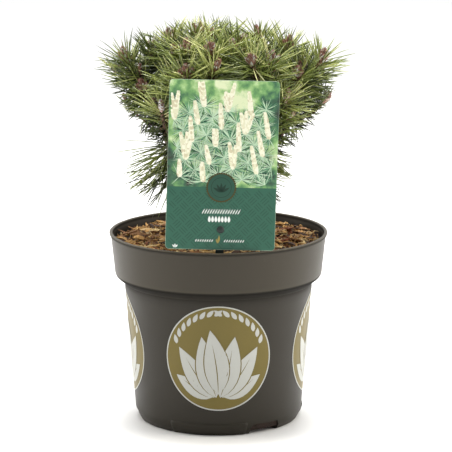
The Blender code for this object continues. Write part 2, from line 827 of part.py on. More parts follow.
def needle_places(name, index, shoot):
    """Roots, directions and lengths of the needles that one shoot would carry with nothing in their way."""
    rng = rng_for(f"{name} {index}")
    old_length, old_angle, tip_length, tip_angle = needle_habit(name, shoot)
    length = length_of(shoot.line)
    wood = length - BUD_LENGTH
    turn = rng.uniform(0.0, 2.0 * math.pi)
    place = max(NEEDLE_FIRST, wood * shoot.bare)
    while place < wood:
        share = place / wood
        root, along = point_at(shoot.line, place / length)
        angle = old_angle + (tip_angle - old_angle) * share
        reach = old_length + (tip_length - old_length) * share
        reach *= 1.0 + NEEDLE_LENGTH_SPREAD * rng.uniform(-1.0, 1.0)
        direction = turned(along, angle, turn)
        sunk = root + direction * (shoot.radius * NEEDLE_SINK)
        trim = largest_trim(sunk, direction * reach, not name.startswith(HANGING))
        if trim:
            yield sunk, direction, reach * trim
        turn += GOLDEN_ANGLE
        place += NEEDLE_SPACING


def largest_trim(root, spike, has_waist):
    """The largest trim by which a needle ends inside the crown's outline, or none where it never does."""
    for trim in NEEDLE_TRIMS:
        if in_crown(as_array([root + spike * trim]), has_waist).all():
            return trim
    return None


def clear_needles(places, own, others, limbs):
    """The needles that keep to their mass's own space and clear of every limb, the card and the pot."""
    places = list(places)
    roots = as_array([place[0] for place in places])
    ways = as_array([place[1] for place in places])
    lengths = np.array([place[2] for place in places])
    good = np.ones(len(places), bool)
    for i in range(NEEDLE_SAMPLES):
        share = NEEDLE_SAMPLE_FIRST + (1.0 - NEEDLE_SAMPLE_FIRST) * i / (NEEDLE_SAMPLES - 1)
        points = roots + ways * (lengths * share)[:, None]
        good &= nearest(points, others) > nearest(points, own) + SPACE_MARGIN
        good &= limb_distance(points, limbs) > NEEDLE_RADIUS + LIMB_CLEARANCE
        good &= ~near_card(points, CARD_CLEARANCE)
        good &= points[:, 2] > FOLIAGE_FLOOR
    return [place for place, fine in zip(places, good) if fine]


def limb_distance(points, limbs):
    """For each point, its distance to the nearest limb's skin."""
    centres, radii = limbs
    return (np.linalg.norm(points[:, None, :] - centres[None, :, :], axis=2) - radii).min(axis=1)


def make_mass(name, shoots, others, limbs):
    """One mass: its stem, side shoots and needles, united into one solid."""
    parts = [shoot_solid(f"{name}_{i}", shoot) for i, shoot in enumerate(shoots)]
    own = np.concatenate([as_array(shoot.line) for shoot in shoots])
    for i, shoot in enumerate(shoots):
        for root, direction, length in clear_needles(needle_places(name, i, shoot), own, others, limbs):
            parts.append(needle(f"{name}_{len(parts)}", root, direction, length, needle_green()))
    mass = parts[0]
    mass.name = "needles_" + name
    join(mass, parts[1:])
    return mass


def limb_skins(trunk, boughs):
    """The middle points and radii of the trunk and of every bough, for the needles to keep clear of."""
    centres = [as_array(trunk)]
    radii = [np.array(trunk_radii(trunk))]
    for line, radius in boughs.values():
        centres.append(as_array(line))
        radii.append(np.full(len(line), radius))
    return np.concatenate(centres), np.concatenate(radii)


def make_plant():
    trunk, boughs, masses = grow()
    make_trunk(trunk)
    for name, (line, radius) in boughs.items():
        make_bough(name, line, radius, trunk)
    limbs = limb_skins(trunk, boughs)
    for name, shoots in masses.items():
        near = [as_array(shoot.line) for key, group in masses.items() if key != name for shoot in group]
        make_mass(name, shoots, np.concatenate(near), limbs)


def main():
    clear_scene()
    make_pot()
    make_soil()
    make_card()
    make_peg()
    make_plant()


if __name__ == "__main__":
    main()
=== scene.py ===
"""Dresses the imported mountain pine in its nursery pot.

The moulded pot with its printed discs, the bark-topped soil, the picture label on its peg, the rough
boughs, the buds and some thousands of paired needles are each made by an operator of their own.
"""

import math
import random
from collections import namedtuple

import bmesh
import bpy
import numpy as np
from bpy.props import FloatProperty, FloatVectorProperty, IntProperty, PointerProperty
from mathutils import Matrix, Vector, noise


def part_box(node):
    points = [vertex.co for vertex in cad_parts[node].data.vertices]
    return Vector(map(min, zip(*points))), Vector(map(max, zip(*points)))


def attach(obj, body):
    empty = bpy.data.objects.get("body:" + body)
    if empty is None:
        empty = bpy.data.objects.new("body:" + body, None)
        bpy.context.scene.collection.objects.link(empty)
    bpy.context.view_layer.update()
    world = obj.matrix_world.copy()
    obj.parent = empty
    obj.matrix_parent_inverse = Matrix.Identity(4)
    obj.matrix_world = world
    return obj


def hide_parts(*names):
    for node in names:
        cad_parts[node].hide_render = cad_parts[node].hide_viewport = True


bl_info = {
    "name": "Potted Mountain Pine",
    "version": (1, 0, 0),
    "blender": (4, 5, 0),
    "location": "View3D > Sidebar > Pine",
    "description": "Makes a young mountain pine in a nursery pot, with its picture label",
    "category": "Object",
}

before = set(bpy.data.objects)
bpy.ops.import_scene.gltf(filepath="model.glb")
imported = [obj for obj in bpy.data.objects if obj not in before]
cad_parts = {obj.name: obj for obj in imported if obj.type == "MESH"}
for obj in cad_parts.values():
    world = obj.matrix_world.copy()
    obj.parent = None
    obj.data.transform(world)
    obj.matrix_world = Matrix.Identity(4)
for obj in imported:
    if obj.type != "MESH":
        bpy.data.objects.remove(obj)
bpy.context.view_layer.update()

MM = 0.001
UP = Vector((0.0, 0.0, 1.0))
GOLDEN_ANGLE = math.radians(137.508)
GOLDEN_SHARE = 0.618034
SEED = 19


BLACK = (0.0, 0.0, 0.0)
WHITE = (1.0, 1.0, 1.0)


def screen(red, green, blue):
    """A colour given as a screen shows it, 0 to 255, turned into Blender's linear values."""
    parts = [channel / 255.0 for channel in (red, green, blue)]
    return tuple(p / 12.92 if p <= 0.04045 else ((p + 0.055) / 1.055) ** 2.4 for p in parts)


def polar(radius, turn):
    """The place at a radius and an angle round the middle."""
    return radius * math.cos(turn), radius * math.sin(turn)


# Settings


def size(name, default, description):
    return FloatProperty(name=name, description=description, default=default, unit="LENGTH", precision=5)


def colour(name, default, description):
    return FloatVectorProperty(
        name=name, description=description, default=default, subtype="COLOR", size=3, min=0.0, max=1.0
    )


def count(name, default, description):
    return IntProperty(name=name, description=description, default=default, min=1)


class PotSettings(bpy.types.PropertyGroup):
    """Sizes and colours of the pot and its printed discs."""

    height: size("Height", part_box("pot")[1].z, "Height of the pot's rim")
    lip_radius: size("Lip radius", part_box("pot")[1].x, "Outer radius of the rolled lip")
    wall: size("Wall", 1.5 * MM, "Thickness of the moulded wall")
    segments: count("Segments", 256, "Facets round the pot")
    plastic: colour("Plastic", screen(57, 52, 42), "Colour of the pot's plastic")
    disc_radius: size("Disc radius", 47.0 * MM, "Radius of each printed disc")
    disc_height: size("Disc height", 70.6 * MM, "Height of the middle of each disc")
    gold: colour("Gold", screen(105, 92, 37), "Colour of the printed discs")
    white: colour("White", screen(177, 178, 172), "Colour of the discs' rim and leaves")


class SoilSettings(bpy.types.PropertyGroup):
    """The bed of bark chips."""

    height: size("Height", 155.0 * MM, "Height of the soil inside the pot")
    chips: count("Chips", 1900, "Number of bark chips")
    crumbs: count("Crumbs", 2600, "Number of small crumbs")
    fibres: count("Fibres", 900, "Number of coir fibres")


class LabelSettings(bpy.types.PropertyGroup):
    """Colours of the picture label."""

    green: colour("Green", screen(50, 97, 79), "Ground colour of the label's lower part")
    fret: colour("Fret", screen(42, 83, 68), "Colour of the woven pattern")
    edge: colour("Edge", screen(160, 182, 160), "Colour of the card's edge")
    gold: colour("Gold", screen(150, 136, 70), "Colour of the seal's rim and the small sprig")
    clusters: count("Clusters", 36, "Number of tufts in the picture, every other one with spikes")


class PlantSettings(bpy.types.PropertyGroup):
    """Sizes and colours of the plant."""

    needle_width: size("Needle width", 1.05 * MM, "Width of one needle")
    needle_thickness: size("Needle thickness", 0.75 * MM, "Thickness of one needle")
    pair_spacing: size("Pair spacing", 0.5 * MM, "Distance between pairs of needles along a shoot")
    bark: colour("Bark", screen(98, 70, 54), "Colour of the bark")
    bud: colour("Bud", screen(158, 116, 102), "Colour of the bud scales")
    resin: colour("Resin", screen(232, 224, 220), "Colour of the resin on the buds")


class StageSettings(bpy.types.PropertyGroup):
    """Floor, lights and camera."""

    floor: colour("Floor", (0.86, 0.86, 0.86), "Colour of the floor")
    light: FloatProperty(name="Light", description="Strength of the studio light", default=1.0, min=0.0)


GROUPS = {
    "pine_pot": PotSettings,
    "pine_soil": SoilSettings,
    "pine_label": LabelSettings,
    "pine_plant": PlantSettings,
    "pine_stage": StageSettings,
}


# Shaders


class Wire:
    """A value in a shader, on which Python's operators add Math nodes."""

    def __init__(self, finish, socket):
        self.finish = finish
        self.socket = socket

    def math(self, operation, first, second):
        return self.finish.node("ShaderNodeMath", {"operation": operation}, {0: first, 1: second})

    def __add__(self, other):
        return self.math("ADD", self, other)

    def __radd__(self, other):
        return self.math("ADD", other, self)

    def __sub__(self, other):
        return self.math("SUBTRACT", self, other)

    def __rsub__(self, other):
        return self.math("SUBTRACT", other, self)

    def __mul__(self, other):
        return self.math("MULTIPLY", self, other)

    def __rmul__(self, other):
        return self.math("MULTIPLY", other, self)

    def __truediv__(self, other):
        return self.math("DIVIDE", self, other)

    def __pow__(self, other):
        return self.math("POWER", self, other)


class Finish:
    """One material: its Principled shader and the nodes that feed it."""

    def __init__(self, name, base=(0.5, 0.5, 0.5), roughness=0.5, **constants):
        self.material = bpy.data.materials.new(name)
        self.material.use_nodes = True
        self.material.diffuse_color = (*base, 1.0)
        self.tree = self.material.node_tree
        self.shader = self.tree.nodes["Principled BSDF"]
        self.feed("Base Color", (*base, 1.0))
        self.feed("Roughness", roughness)
        for socket, value in constants.items():
            self.feed(socket.replace("_", " "), value)

    def node(self, kind, settings=None, values=None, out=0):
        """Add a node: its settings first, then the values or links of its sockets."""
        made = self.tree.nodes.new(kind)
        for key, value in (settings or {}).items():
            if key == "stops":
                self.set_stops(made.color_ramp, value)
            else:
                setattr(made, key, value)
        for key, value in (values or {}).items():
            self.join(made.inputs[key], value)
        return Wire(self, made.outputs[out])

    def set_stops(self, ramp, stops):
        while len(ramp.elements) < len(stops):
            ramp.elements.new(1.0)
        for element, (place, shade) in zip(ramp.elements, stops):
            element.position = place
            element.color = (*shade, 1.0)

    def join(self, socket, value):
        if isinstance(value, Wire):
            self.tree.links.new(value.socket, socket)
        else:
            socket.default_value = value

    def feed(self, socket, value):
        self.join(self.shader.inputs[socket], value)

    def place(self):
        """Where a point of the surface is on its object, in metres."""
        return self.node("ShaderNodeTexCoord", out="Object")

    def axis(self, name):
        """How far a point of the surface is along one axis, in metres."""
        return self.node("ShaderNodeSeparateXYZ", None, {0: self.place()}, "XYZ".index(name))

    def grey(self, shade):
        return self.node("ShaderNodeSeparateColor", None, {0: shade})

    def noise(self, scale, detail=3.0, roughness=0.55, vector=None):
        values = {"Vector": vector or self.place(), "Scale": scale, "Detail": detail}
        return self.node("ShaderNodeTexNoise", None, values | {"Roughness": roughness})

    def stretched(self, scale):
        """The surface's place, stretched by a factor along each axis."""
        return self.node("ShaderNodeMapping", None, {"Vector": self.place(), "Scale": scale})

    def ramp(self, factor, *stops):
        return self.node("ShaderNodeValToRGB", {"stops": stops}, {"Fac": factor})

    def mask(self, factor, low, high):
        """0 where a factor is below low, 1 where it is above high."""
        return self.grey(self.ramp(factor, (low, BLACK), (high, WHITE)))

    def tones(self, factor, base, *stops):
        """A ramp of the base colour, made darker or lighter by the second value of each stop."""
        return self.ramp(factor, *((place, shaded(base, tone)) for place, tone in stops))

    def blend(self, factor, first, second, way="MIX"):
        """Mix two colours by a factor."""
        shades = [value if isinstance(value, Wire) else (*value, 1.0) for value in (first, second)]
        settings = {"data_type": "RGBA", "blend_type": way}
        return self.node("ShaderNodeMix", settings, {0: factor, 6: shades[0], 7: shades[1]}, out=2)

    def bump(self, height, distance, strength=1.0):
        values = {"Height": height, "Distance": distance, "Strength": strength}
        self.feed("Normal", self.node("ShaderNodeBump", None, values))


def shaded(base, factor):
    return tuple(min(1.0, channel * factor) for channel in base)


def moulded_plastic(name, base, roughness=0.5, tones=(), painted_inner_shade=None):
    """Matt moulded plastic with a fine grain, faint cloudy marks and a few pale scuffs."""
    finish = Finish(name, base, roughness, Specular_IOR_Level=0.22)
    cloud = finish.noise(28.0, 4.0)
    streaks = finish.noise(420.0, 2.0, 0.7, finish.stretched((1.0, 1.0, 0.3)))
    worn = finish.blend(finish.mask(streaks, 0.66, 0.8) * 0.35, shaded(base, 0.93), shaded(base, 1.6))
    shade = finish.blend(cloud * 0.35, worn, shaded(base, 1.22))
    gloss = cloud * 0.16 + (roughness - 0.06)
    # Painted shade below the collar and under the lip, and painted highlights on the collar's edge and
    # the lip, by height
    if tones:
        low, high = tones[0][0] * MM, tones[-1][0] * MM
        share = (finish.axis("Z") - low) / (high - low)
        stops = [((height * MM - low) / (high - low), (tone, tone, tone)) for height, tone in tones]
        shade = finish.blend(1.0, shade, finish.ramp(share, *stops), "MULTIPLY")
        dull = [(place, (max(0.0, 1.0 - tone[0]),) * 3) for place, tone in stops]
        gloss = gloss + finish.grey(finish.ramp(share, *dull)) * 0.6
    # Painted shade on the wall's inner side below the lip
    if painted_inner_shade:
        shade = finish.blend(painted_inner_shade(finish) * 0.6, shade, shaded(base, 0.3))
    finish.feed("Base Color", shade)
    finish.feed("Roughness", gloss)
    finish.bump(finish.noise(2600.0, 2.0) + cloud * 0.5, 0.05 * MM, 0.5)
    return finish.material


def printed_ink(name, base, roughness=0.42):
    """A flat layer of ink, a little uneven where it is thin."""
    finish = Finish(name, base, roughness, Specular_IOR_Level=0.3)
    thin = finish.noise(380.0, 3.0)
    finish.feed("Base Color", finish.blend(thin * 0.4, base, shaded(base, 0.84)))
    finish.bump(finish.noise(1500.0, 2.0), 0.02 * MM, 0.35)
    return finish.material


def rough_bark(name, base):
    """Old scaly bark: dark in its cracks, grey-brown and reddish on its plates."""
    finish = Finish(name, base, 0.9)
    values = {"Vector": finish.stretched((1.0, 1.0, 0.55)), "Scale": 420.0}
    plates = finish.node("ShaderNodeTexVoronoi", {"feature": "DISTANCE_TO_EDGE"}, values)
    solid = finish.mask(plates, 0.02, 0.22)
    cloud = finish.noise(160.0, 5.0, 0.65)
    plate = finish.ramp(cloud, (0.32, shaded(base, 0.55)), (0.52, base), (0.72, screen(140, 112, 90)))
    finish.feed("Base Color", finish.blend(solid, shaded(base, 0.3), plate))
    finish.feed("Roughness", cloud * 0.2 + 0.75)
    finish.bump(solid + finish.noise(900.0, 3.0) * 0.8, 0.35 * MM, 0.8)
    return finish.material


def waxy_needle(name, base):
    return Finish(name, base, 0.32, Specular_IOR_Level=0.6).material


def dry_wood(name, base):
    """Bark chips and fibres: streaked along their grain, dull and slightly fuzzy."""
    finish = Finish(name, base, 0.88)
    streak = finish.noise(520.0, 4.0, 0.7, finish.stretched((1.0, 0.35, 1.0)))
    finish.feed("Base Color", finish.tones(streak, base, (0.3, 0.5), (0.55, 1.0), (0.78, 1.55)))
    finish.bump(streak, 0.3 * MM, 0.7)
    return finish.material


def peat(name, base):
    finish = Finish(name, base, 0.95)
    lumps = finish.noise(700.0, 5.0, 0.7)
    finish.feed("Base Color", finish.tones(lumps, base, (0.35, 0.35), (0.6, 1.0), (0.75, 2.2)))
    finish.bump(lumps, 1.0 * MM, 0.9)
    return finish.material


def bud_scale(name, base):
    finish = Finish(name, base, 0.6)
    cloud = finish.noise(900.0, 3.0)
    finish.feed("Base Color", finish.blend(cloud, shaded(base, 0.62), shaded(base, 1.35)))
    finish.feed("Roughness", cloud * 0.3 + 0.45)
    return finish.material


def blurred_greenery(name):
    """The picture's ground: soft out-of-focus patches of green, pale above and dark at one low corner."""
    finish = Finish(name, screen(120, 165, 110), 0.38)
    patches = finish.noise(46.0, 2.0, 0.5)
    fine = finish.noise(190.0, 3.0, 0.6)
    corner = finish.axis("X") * -9.0 + (CARD_FOOT.z + PANEL_TOP - finish.axis("Z")) * 7.0
    span = {"Value": corner, "From Min": 0.1, "From Max": 0.45, "To Max": 0.3}
    ground = finish.ramp(
        patches + (fine - 0.5) * 0.35 - finish.node("ShaderNodeMapRange", None, span),
        (0.26, screen(46, 44, 40)),
        (0.38, screen(58, 104, 76)),
        (0.48, screen(110, 160, 96)),
        (0.56, screen(160, 198, 130)),
        (0.66, screen(222, 232, 190)),
    )
    finish.feed("Base Color", ground)
    return finish.material


# Meshes


def new_piece(name, vertices, faces, material, smooth=True, stands_for=()):
    """A piece from arrays, riding on the plant's one body."""
    mesh = bpy.data.meshes.new(name)
    mesh.from_pydata(np.asarray(vertices, float).tolist(), [], [tuple(face) for face in faces])
    return dress(mesh, name, material, smooth, stands_for)


def dress(mesh, name, material, smooth=True, stands_for=()):
    mesh.materials.append(material)
    if smooth:
        mesh.shade_smooth()
    piece = bpy.data.objects.new(name, mesh)
    bpy.context.scene.collection.objects.link(piece)
    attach(piece, "root")
    if stands_for:
        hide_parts(*stands_for)
    return piece


class Heap:
    """Vertices and faces of many small shapes, gathered for one joined piece."""

    def __init__(self):
        self.vertices = []
        self.faces = []
        self.total = 0

    def add(self, vertices, faces):
        self.vertices.extend(tuple(v) for v in vertices)
        self.faces.extend(tuple(i + self.total for i in face) for face in faces)
        self.total += len(vertices)

    def piece(self, name, material, slot, smooth=True, stands_for=()):
        if self.vertices:
            new_piece(name, self.vertices, self.faces, material, smooth, stands_for)


def grid_faces(rows, columns, closed=False):
    """Faces of a grid of points, row after row, whose rows close on themselves where closed is set."""
    faces = []
    for row in range(rows - 1):
        for column in range(columns if closed else columns - 1):
            after = (column + 1) % columns
            low = row * columns
            faces.append((low + column, low + after, low + columns + after, low + columns + column))
    return faces


def healed_mesh(name, vertices, faces):
    """A mesh without double points, whose faces all look outward."""
    mesh = bpy.data.meshes.new(name)
    mesh.from_pydata(vertices, [], faces)
    work = bmesh.new()
    work.from_mesh(mesh)
    bmesh.ops.remove_doubles(work, verts=work.verts, dist=0.01 * MM)
    bmesh.ops.recalc_face_normals(work, faces=work.faces)
    work.to_mesh(mesh)
    work.free()
    return mesh


def swept_many(name, rings, material):
    """One joined mesh of many like tubes. rings has the shape (tubes, rings, sides, 3).

    A tube's far end narrows to the middle of its last ring.
    """
    tubes, steps, sides, _ = rings.shape
    if tubes == 0:
        return
    tips = rings[:, -1].mean(axis=1, keepdims=True)
    points = np.concatenate([rings.reshape(tubes, steps * sides, 3), tips], axis=1)
    stride = points.shape[1]
    offsets = (np.arange(tubes) * stride)[:, None, None]
    quads = (np.array(grid_faces(steps, sides, True))[None] + offsets).reshape(-1)
    end = (steps - 1) * sides
    caps = np.array([(end + side, end + (side + 1) % sides, stride - 1) for side in range(sides)])
    caps = (caps[None] + offsets).reshape(-1)
    loops = np.concatenate([quads, caps])
    starts = np.concatenate([np.arange(0, len(quads), 4), len(quads) + np.arange(0, len(caps), 3)])
    mesh = bpy.data.meshes.new(name)
    mesh.vertices.add(tubes * stride)
    mesh.vertices.foreach_set("co", points.reshape(-1).astype(np.float32))
    mesh.loops.add(len(loops))
    mesh.loops.foreach_set("vertex_index", loops.astype(np.int32))
    mesh.polygons.add(len(starts))
    mesh.polygons.foreach_set("loop_start", starts.astype(np.int32))
    mesh.update(calc_edges=True)
    mesh.validate()
    dress(mesh, name, material)


def lathe(profile, segments):
    """Vertices and faces of a profile, as (radius, height), turned about the Z axis."""
    turns = np.linspace(0.0, 2.0 * math.pi, segments, endpoint=False)
    vertices = [(*polar(radius, turn), height) for radius, height in profile for turn in turns]
    return vertices, grid_faces(len(profile), segments, True)


def rounded(corners, steps=5):
    """A profile from corners given as (radius, height, rounding), each corner turned into a short arc."""
    points = [Vector(corner[:2]) for corner in corners]
    line = [points[0]]
    for i in range(1, len(points) - 1):
        corner = points[i]
        back = points[i - 1] - corner
        ahead = points[i + 1] - corner
        reach = min(corners[i][2], back.length * 0.48, ahead.length * 0.48)
        start = corner + back.normalized() * reach
        end = corner + ahead.normalized() * reach
        for step in range(steps + 1):
            t = step / steps
            line.append(start.lerp(corner, t).lerp(corner.lerp(end, t), t))
    line.append(points[-1])
    return [(max(point.x, 0.0), point.y) for point in line]


# Pot


BODY_FOOT = (73.3 * MM, 9.5 * MM)
BODY_TOP = (82.4 * MM, 122.4 * MM)
COLLAR_FOOT = (90.5 * MM, 128.8 * MM)
LIP_PROUD = 1.2 * MM
LIP_DEPTH = 2.6 * MM
LIP_ROLL = 0.8 * MM
POT_FLOOR = 3.0 * MM
FOOT_RADIUS = 69.2 * MM
SHARP_ANGLE = math.radians(40.0)
NOTCH_COUNT = 3
NOTCH_FIRST = math.radians(-90.0 + 34.7)
NOTCH_SPAN = math.radians(24.0)
NOTCH_HEIGHT = 9.0 * MM
NOTCH_REACH = 17.0 * MM
NOTCH_OUTER = 100.0 * MM
PAD_START = math.radians(-90.0 - 34.6)
PAD_SPAN = math.radians(55.0)
PAD_TUCK = 1.0 * MM
PAD_COLUMNS = 40
PAD_SECTION = ((69.6, 0.3), (72.6, 5.0), (74.0, 9.2), (74.2, 10.9), (73.3, 11.5))
# How light the plastic is painted by height in mm: painted shade below the collar and under the lip,
# painted highlights along the collar's lower edge and on the lip's top
POT_SHADE_AND_HIGHLIGHT = (
    (112.0, 1.0),
    (118.5, 0.85),
    (122.4, 0.5),
    (125.0, 0.25),
    (128.4, 0.08),
    (129.6, 0.3),
    (131.0, 1.1),
    (134.0, 1.0),
    (162.8, 1.0),
    (164.0, 0.45),
    (165.2, 0.45),
    (165.8, 1.4),
    (166.5, 2.0),
)


def pot_profile(pot):
    """The pot's whole section, from the middle of its underside over the lip to its floor's middle."""
    lip = pot.lip_radius
    top = pot.height
    wall = pot.wall
    collar = lip - LIP_PROUD
    return (
        (0.0, 0.0, 0.0),
        (FOOT_RADIUS, 0.0, 1.6 * MM),
        (71.9 * MM, 5.0 * MM, 2.0 * MM),
        (*BODY_FOOT, 3.0 * MM),
        (*BODY_TOP, 0.5 * MM),
        (*COLLAR_FOOT, 2.6 * MM),
        (collar, top - LIP_DEPTH, 0.5 * MM),
        (lip, top - LIP_DEPTH * 0.85, 0.7 * MM),
        (lip, top - LIP_DEPTH * 0.1, 1.0 * MM),
        (collar, top, LIP_ROLL),
        (collar - wall, top - 0.2 * MM, LIP_ROLL),
        (COLLAR_FOOT[0] - wall, COLLAR_FOOT[1] + wall / 2.0, 1.5 * MM),
        (BODY_TOP[0] - wall, BODY_TOP[1] + wall / 2.0, 1.5 * MM),
        (BODY_FOOT[0] - wall, BODY_FOOT[1], 1.0 * MM),
        (70.4 * MM, POT_FLOOR, 1.0 * MM),
        (0.0, POT_FLOOR, 0.0),
    )


def notch_wedge(middle):
    """A wedge with chamfered upper corners, which opens the foot round the angle middle."""
    outline = ((-0.5, -1.0), (0.5, -1.0), (0.5, 0.55), (0.42, 1.0), (-0.42, 1.0), (-0.5, 0.55))
    vertices = []
    for radius in (FOOT_RADIUS - NOTCH_REACH, NOTCH_OUTER):
        for turn, height in outline:
            vertices.append((*polar(radius, middle + turn * NOTCH_SPAN), height * NOTCH_HEIGHT))
    sides = len(outline)
    faces = [tuple(range(sides)), tuple(reversed(range(sides, 2 * sides)))]
    faces += [(i, sides + i, sides + (i + 1) % sides, (i + 1) % sides) for i in range(sides)]
    cutter = bpy.data.objects.new("notch", healed_mesh("notch", vertices, faces))
    bpy.context.scene.collection.objects.link(cutter)
    return cutter


def cut(piece, cutter):
    modifier = piece.modifiers.new("cut", "BOOLEAN")
    modifier.operation = "DIFFERENCE"
    modifier.object = cutter
    with bpy.context.temp_override(object=piece, active_object=piece, selected_objects=[piece]):
        bpy.ops.object.modifier_apply(modifier=modifier.name)
    bpy.data.objects.remove(cutter, do_unlink=True)


def inner_wall_shade(finish):
    """1 on the inner side of the collar's wall, where shade is painted, and 0 on its outer side and its
    lip.
    """
    pot = bpy.context.scene.pine_pot
    across, over, height = (finish.axis(name) for name in "XYZ")
    radius = (across * across + over * over) ** 0.5
    slope = (pot.lip_radius - LIP_PROUD - COLLAR_FOOT[0]) / (pot.height - COLLAR_FOOT[1])
    middle = (height - COLLAR_FOOT[1]) * slope + (COLLAR_FOOT[0] - pot.wall / 2.0)
    inward = finish.mask((middle - radius) / (0.3 * MM), 0.0, 1.0)
    return inward * finish.mask((pot.height - LIP_ROLL - height) / (5.0 * MM), 0.0, 1.0)


def make_pot():
    pot = bpy.context.scene.pine_pot
    mesh = healed_mesh("nursery_pot", *lathe(rounded(pot_profile(pot)), pot.segments))
    # The pot's plastic, with painted shade and painted highlights by height and painted shade on the
    # wall's inner side
    material = moulded_plastic("taupe_plastic", tuple(pot.plastic), 0.42, POT_SHADE_AND_HIGHLIGHT, inner_wall_shade)
    piece = dress(mesh, "nursery_pot", material, True, ("pot",))
    for i in range(NOTCH_COUNT):
        cut(piece, notch_wedge(NOTCH_FIRST + 2.0 * math.pi * i / NOTCH_COUNT))
    piece.data.shade_smooth()
    piece.data.set_sharp_from_angle(angle=SHARP_ANGLE)
    make_foot_pads(material)


def make_foot_pads(material):
    """The low pads that stand a little proud of the foot between its notches."""
    pads = Heap()
    for i in range(NOTCH_COUNT):
        start = PAD_START + 2.0 * math.pi * i / NOTCH_COUNT
        vertices = []
        for radius, height in PAD_SECTION:
            for column in range(PAD_COLUMNS + 1):
                share = column / PAD_COLUMNS
                tuck = PAD_TUCK * max(0.0, abs(2.0 * share - 1.0) * 20.0 - 19.0)
                vertices.append((*polar(radius * MM - tuck, start + PAD_SPAN * share), height * MM))
        pads.add(vertices, grid_faces(len(PAD_SECTION), PAD_COLUMNS + 1))
    pads.piece("foot_pads", material, "pot_plastic")


# Printed discs on the pot


DISC_ANGLES = tuple(math.radians(angle) for angle in (-90.0, 0.0, 90.0, 180.0))
RIM_WIDTH = 1.1 * MM
GOLD_LIFT = 0.12 * MM
WHITE_LIFT = 0.2 * MM
GOLD_OUTLINE = 0.9 * MM
PRINT_LAYER = 0.02 * MM
GROUND_GRID = (14, 96)
RIM_GRID = (3, 128)
LEAF_COLUMNS = 4
LEAF_ROWS = 10
LEAF_FACES = grid_faces(LEAF_ROWS + 1, LEAF_COLUMNS + 1)
NO_RADIUS = 0.05 * MM
# The fan's leaves, back ones first: how far each leans from upright in degrees, its length and its width
FAN = ((66.0, 37.0, 14.0), (42.0, 54.0, 18.0), (20.0, 56.0, 20.0), (0.0, 58.0, 21.0))
FAN_CURL = 0.12
ARC_LEAVES = 16
ARC_RADIUS = 38.5 * MM
ARC_START = 18.0
ARC_SPAN = 144.0
ARC_LEAN = math.radians(58.0)
ARC_LEAF = (8.4 * MM, 3.8 * MM)


def body_radius(height):
    share = (height - BODY_FOOT[1]) / (BODY_TOP[1] - BODY_FOOT[1])
    return BODY_FOOT[0] + (BODY_TOP[0] - BODY_FOOT[0]) * share


def wrapped(points, middle, height, lift):
    """Flat points laid on the pot's body round the angle middle, a little proud of it."""
    laid = []
    for across, up in points:
        radius = body_radius(height + up)
        laid.append((*polar(radius + lift, middle + across / radius), height + up))
    return laid


def ring_points(inner, outer, rows, columns):
    """Flat points of a ring, in circles from its inner edge to its outer one."""
    radii = [inner + (outer - inner) * row / (rows - 1) for row in range(rows)]
    turns = [2.0 * math.pi * column / columns for column in range(columns)]
    return [polar(radius, turn) for radius in radii for turn in turns]


def leaf_points(root, angle, length, width, curl=0.0):
    """A pointed oval leaf from its root outward, at an angle from the horizontal, bent by curl."""
    points = []
    for row in range(LEAF_ROWS + 1):
        t = row / LEAF_ROWS
        half = width / 2.0 * math.sin(math.pi * t**0.8) ** 0.9 if 0.0 < t < 1.0 else 0.0
        turn = angle + curl * t
        across, up = polar(length * t, turn)
        for column in range(LEAF_COLUMNS + 1):
            side = half * (2.0 * column / LEAF_COLUMNS - 1.0)
            x = root[0] + across - side * math.sin(turn)
            points.append((x, root[1] + up + side * math.cos(turn)))
    return points


def fan_leaves():
    """The disc's motif: the root, angle, length, width and curl of each broad leaf."""
    rows = []
    for degrees, length, width in FAN:
        for side in (-1.0, 1.0) if degrees else (1.0,):
            start = (side * degrees * 0.08 * MM, (-35.0 if degrees else -32.0) * MM)
            angle = math.radians(90.0 - side * degrees)
            rows.append((start, angle, length * MM, width * MM, side * FAN_CURL))
    return rows


def small_leaves():
    """Small leaves that follow each other round the upper rim of a disc."""
    rows = []
    for i in range(ARC_LEAVES):
        turn = math.radians(ARC_START + ARC_SPAN * i / (ARC_LEAVES - 1))
        lean = turn + math.copysign(ARC_LEAN, math.cos(turn))
        rows.append((polar(ARC_RADIUS, turn), lean, *ARC_LEAF, 0.0))
    return rows


def disc_shapes(radius):
    """What one disc prints, back shapes first: the ink, flat points, faces and lift of each."""
    ground = ring_points(NO_RADIUS, radius - RIM_WIDTH, *GROUND_GRID)
    rim = ring_points(radius - RIM_WIDTH, radius, *RIM_GRID)
    shapes = [("gold", ground, grid_faces(*GROUND_GRID, True), GOLD_LIFT)]
    shapes.append(("white", rim, grid_faces(*RIM_GRID, True), WHITE_LIFT))
    shapes += [("white", leaf_points(*leaf), LEAF_FACES, WHITE_LIFT) for leaf in small_leaves()]
    for layer, (root, angle, length, width, curl) in enumerate(fan_leaves(), start=1):
        lift = WHITE_LIFT + 2 * layer * PRINT_LAYER
        edged = leaf_points(root, angle, length + GOLD_OUTLINE, width + 2.0 * GOLD_OUTLINE, curl)
        plain = leaf_points(root, angle, length, width, curl)
        vein = leaf_points(root, angle, length * 0.8, GOLD_OUTLINE, curl)
        shapes.append(("gold", edged, LEAF_FACES, lift - PRINT_LAYER))
        shapes.append(("white", plain, LEAF_FACES, lift))
        shapes.append(("gold", vein, LEAF_FACES, lift + PRINT_LAYER / 2.0))
    return shapes


def make_prints():
    pot = bpy.context.scene.pine_pot
    inks = {
        "gold": printed_ink("gold_ink", tuple(pot.gold)),
        "white": printed_ink("white_ink", tuple(pot.white)),
    }
    heaps = {name: Heap() for name in inks}
    shapes = disc_shapes(pot.disc_radius)
    for middle in DISC_ANGLES:
        for ink, points, faces, lift in shapes:
            heaps[ink].add(wrapped(points, middle, pot.disc_height, lift), faces)
    for name, ink in inks.items():
        heaps[name].piece("printed_" + name, ink, "pot_plastic")


# Soil


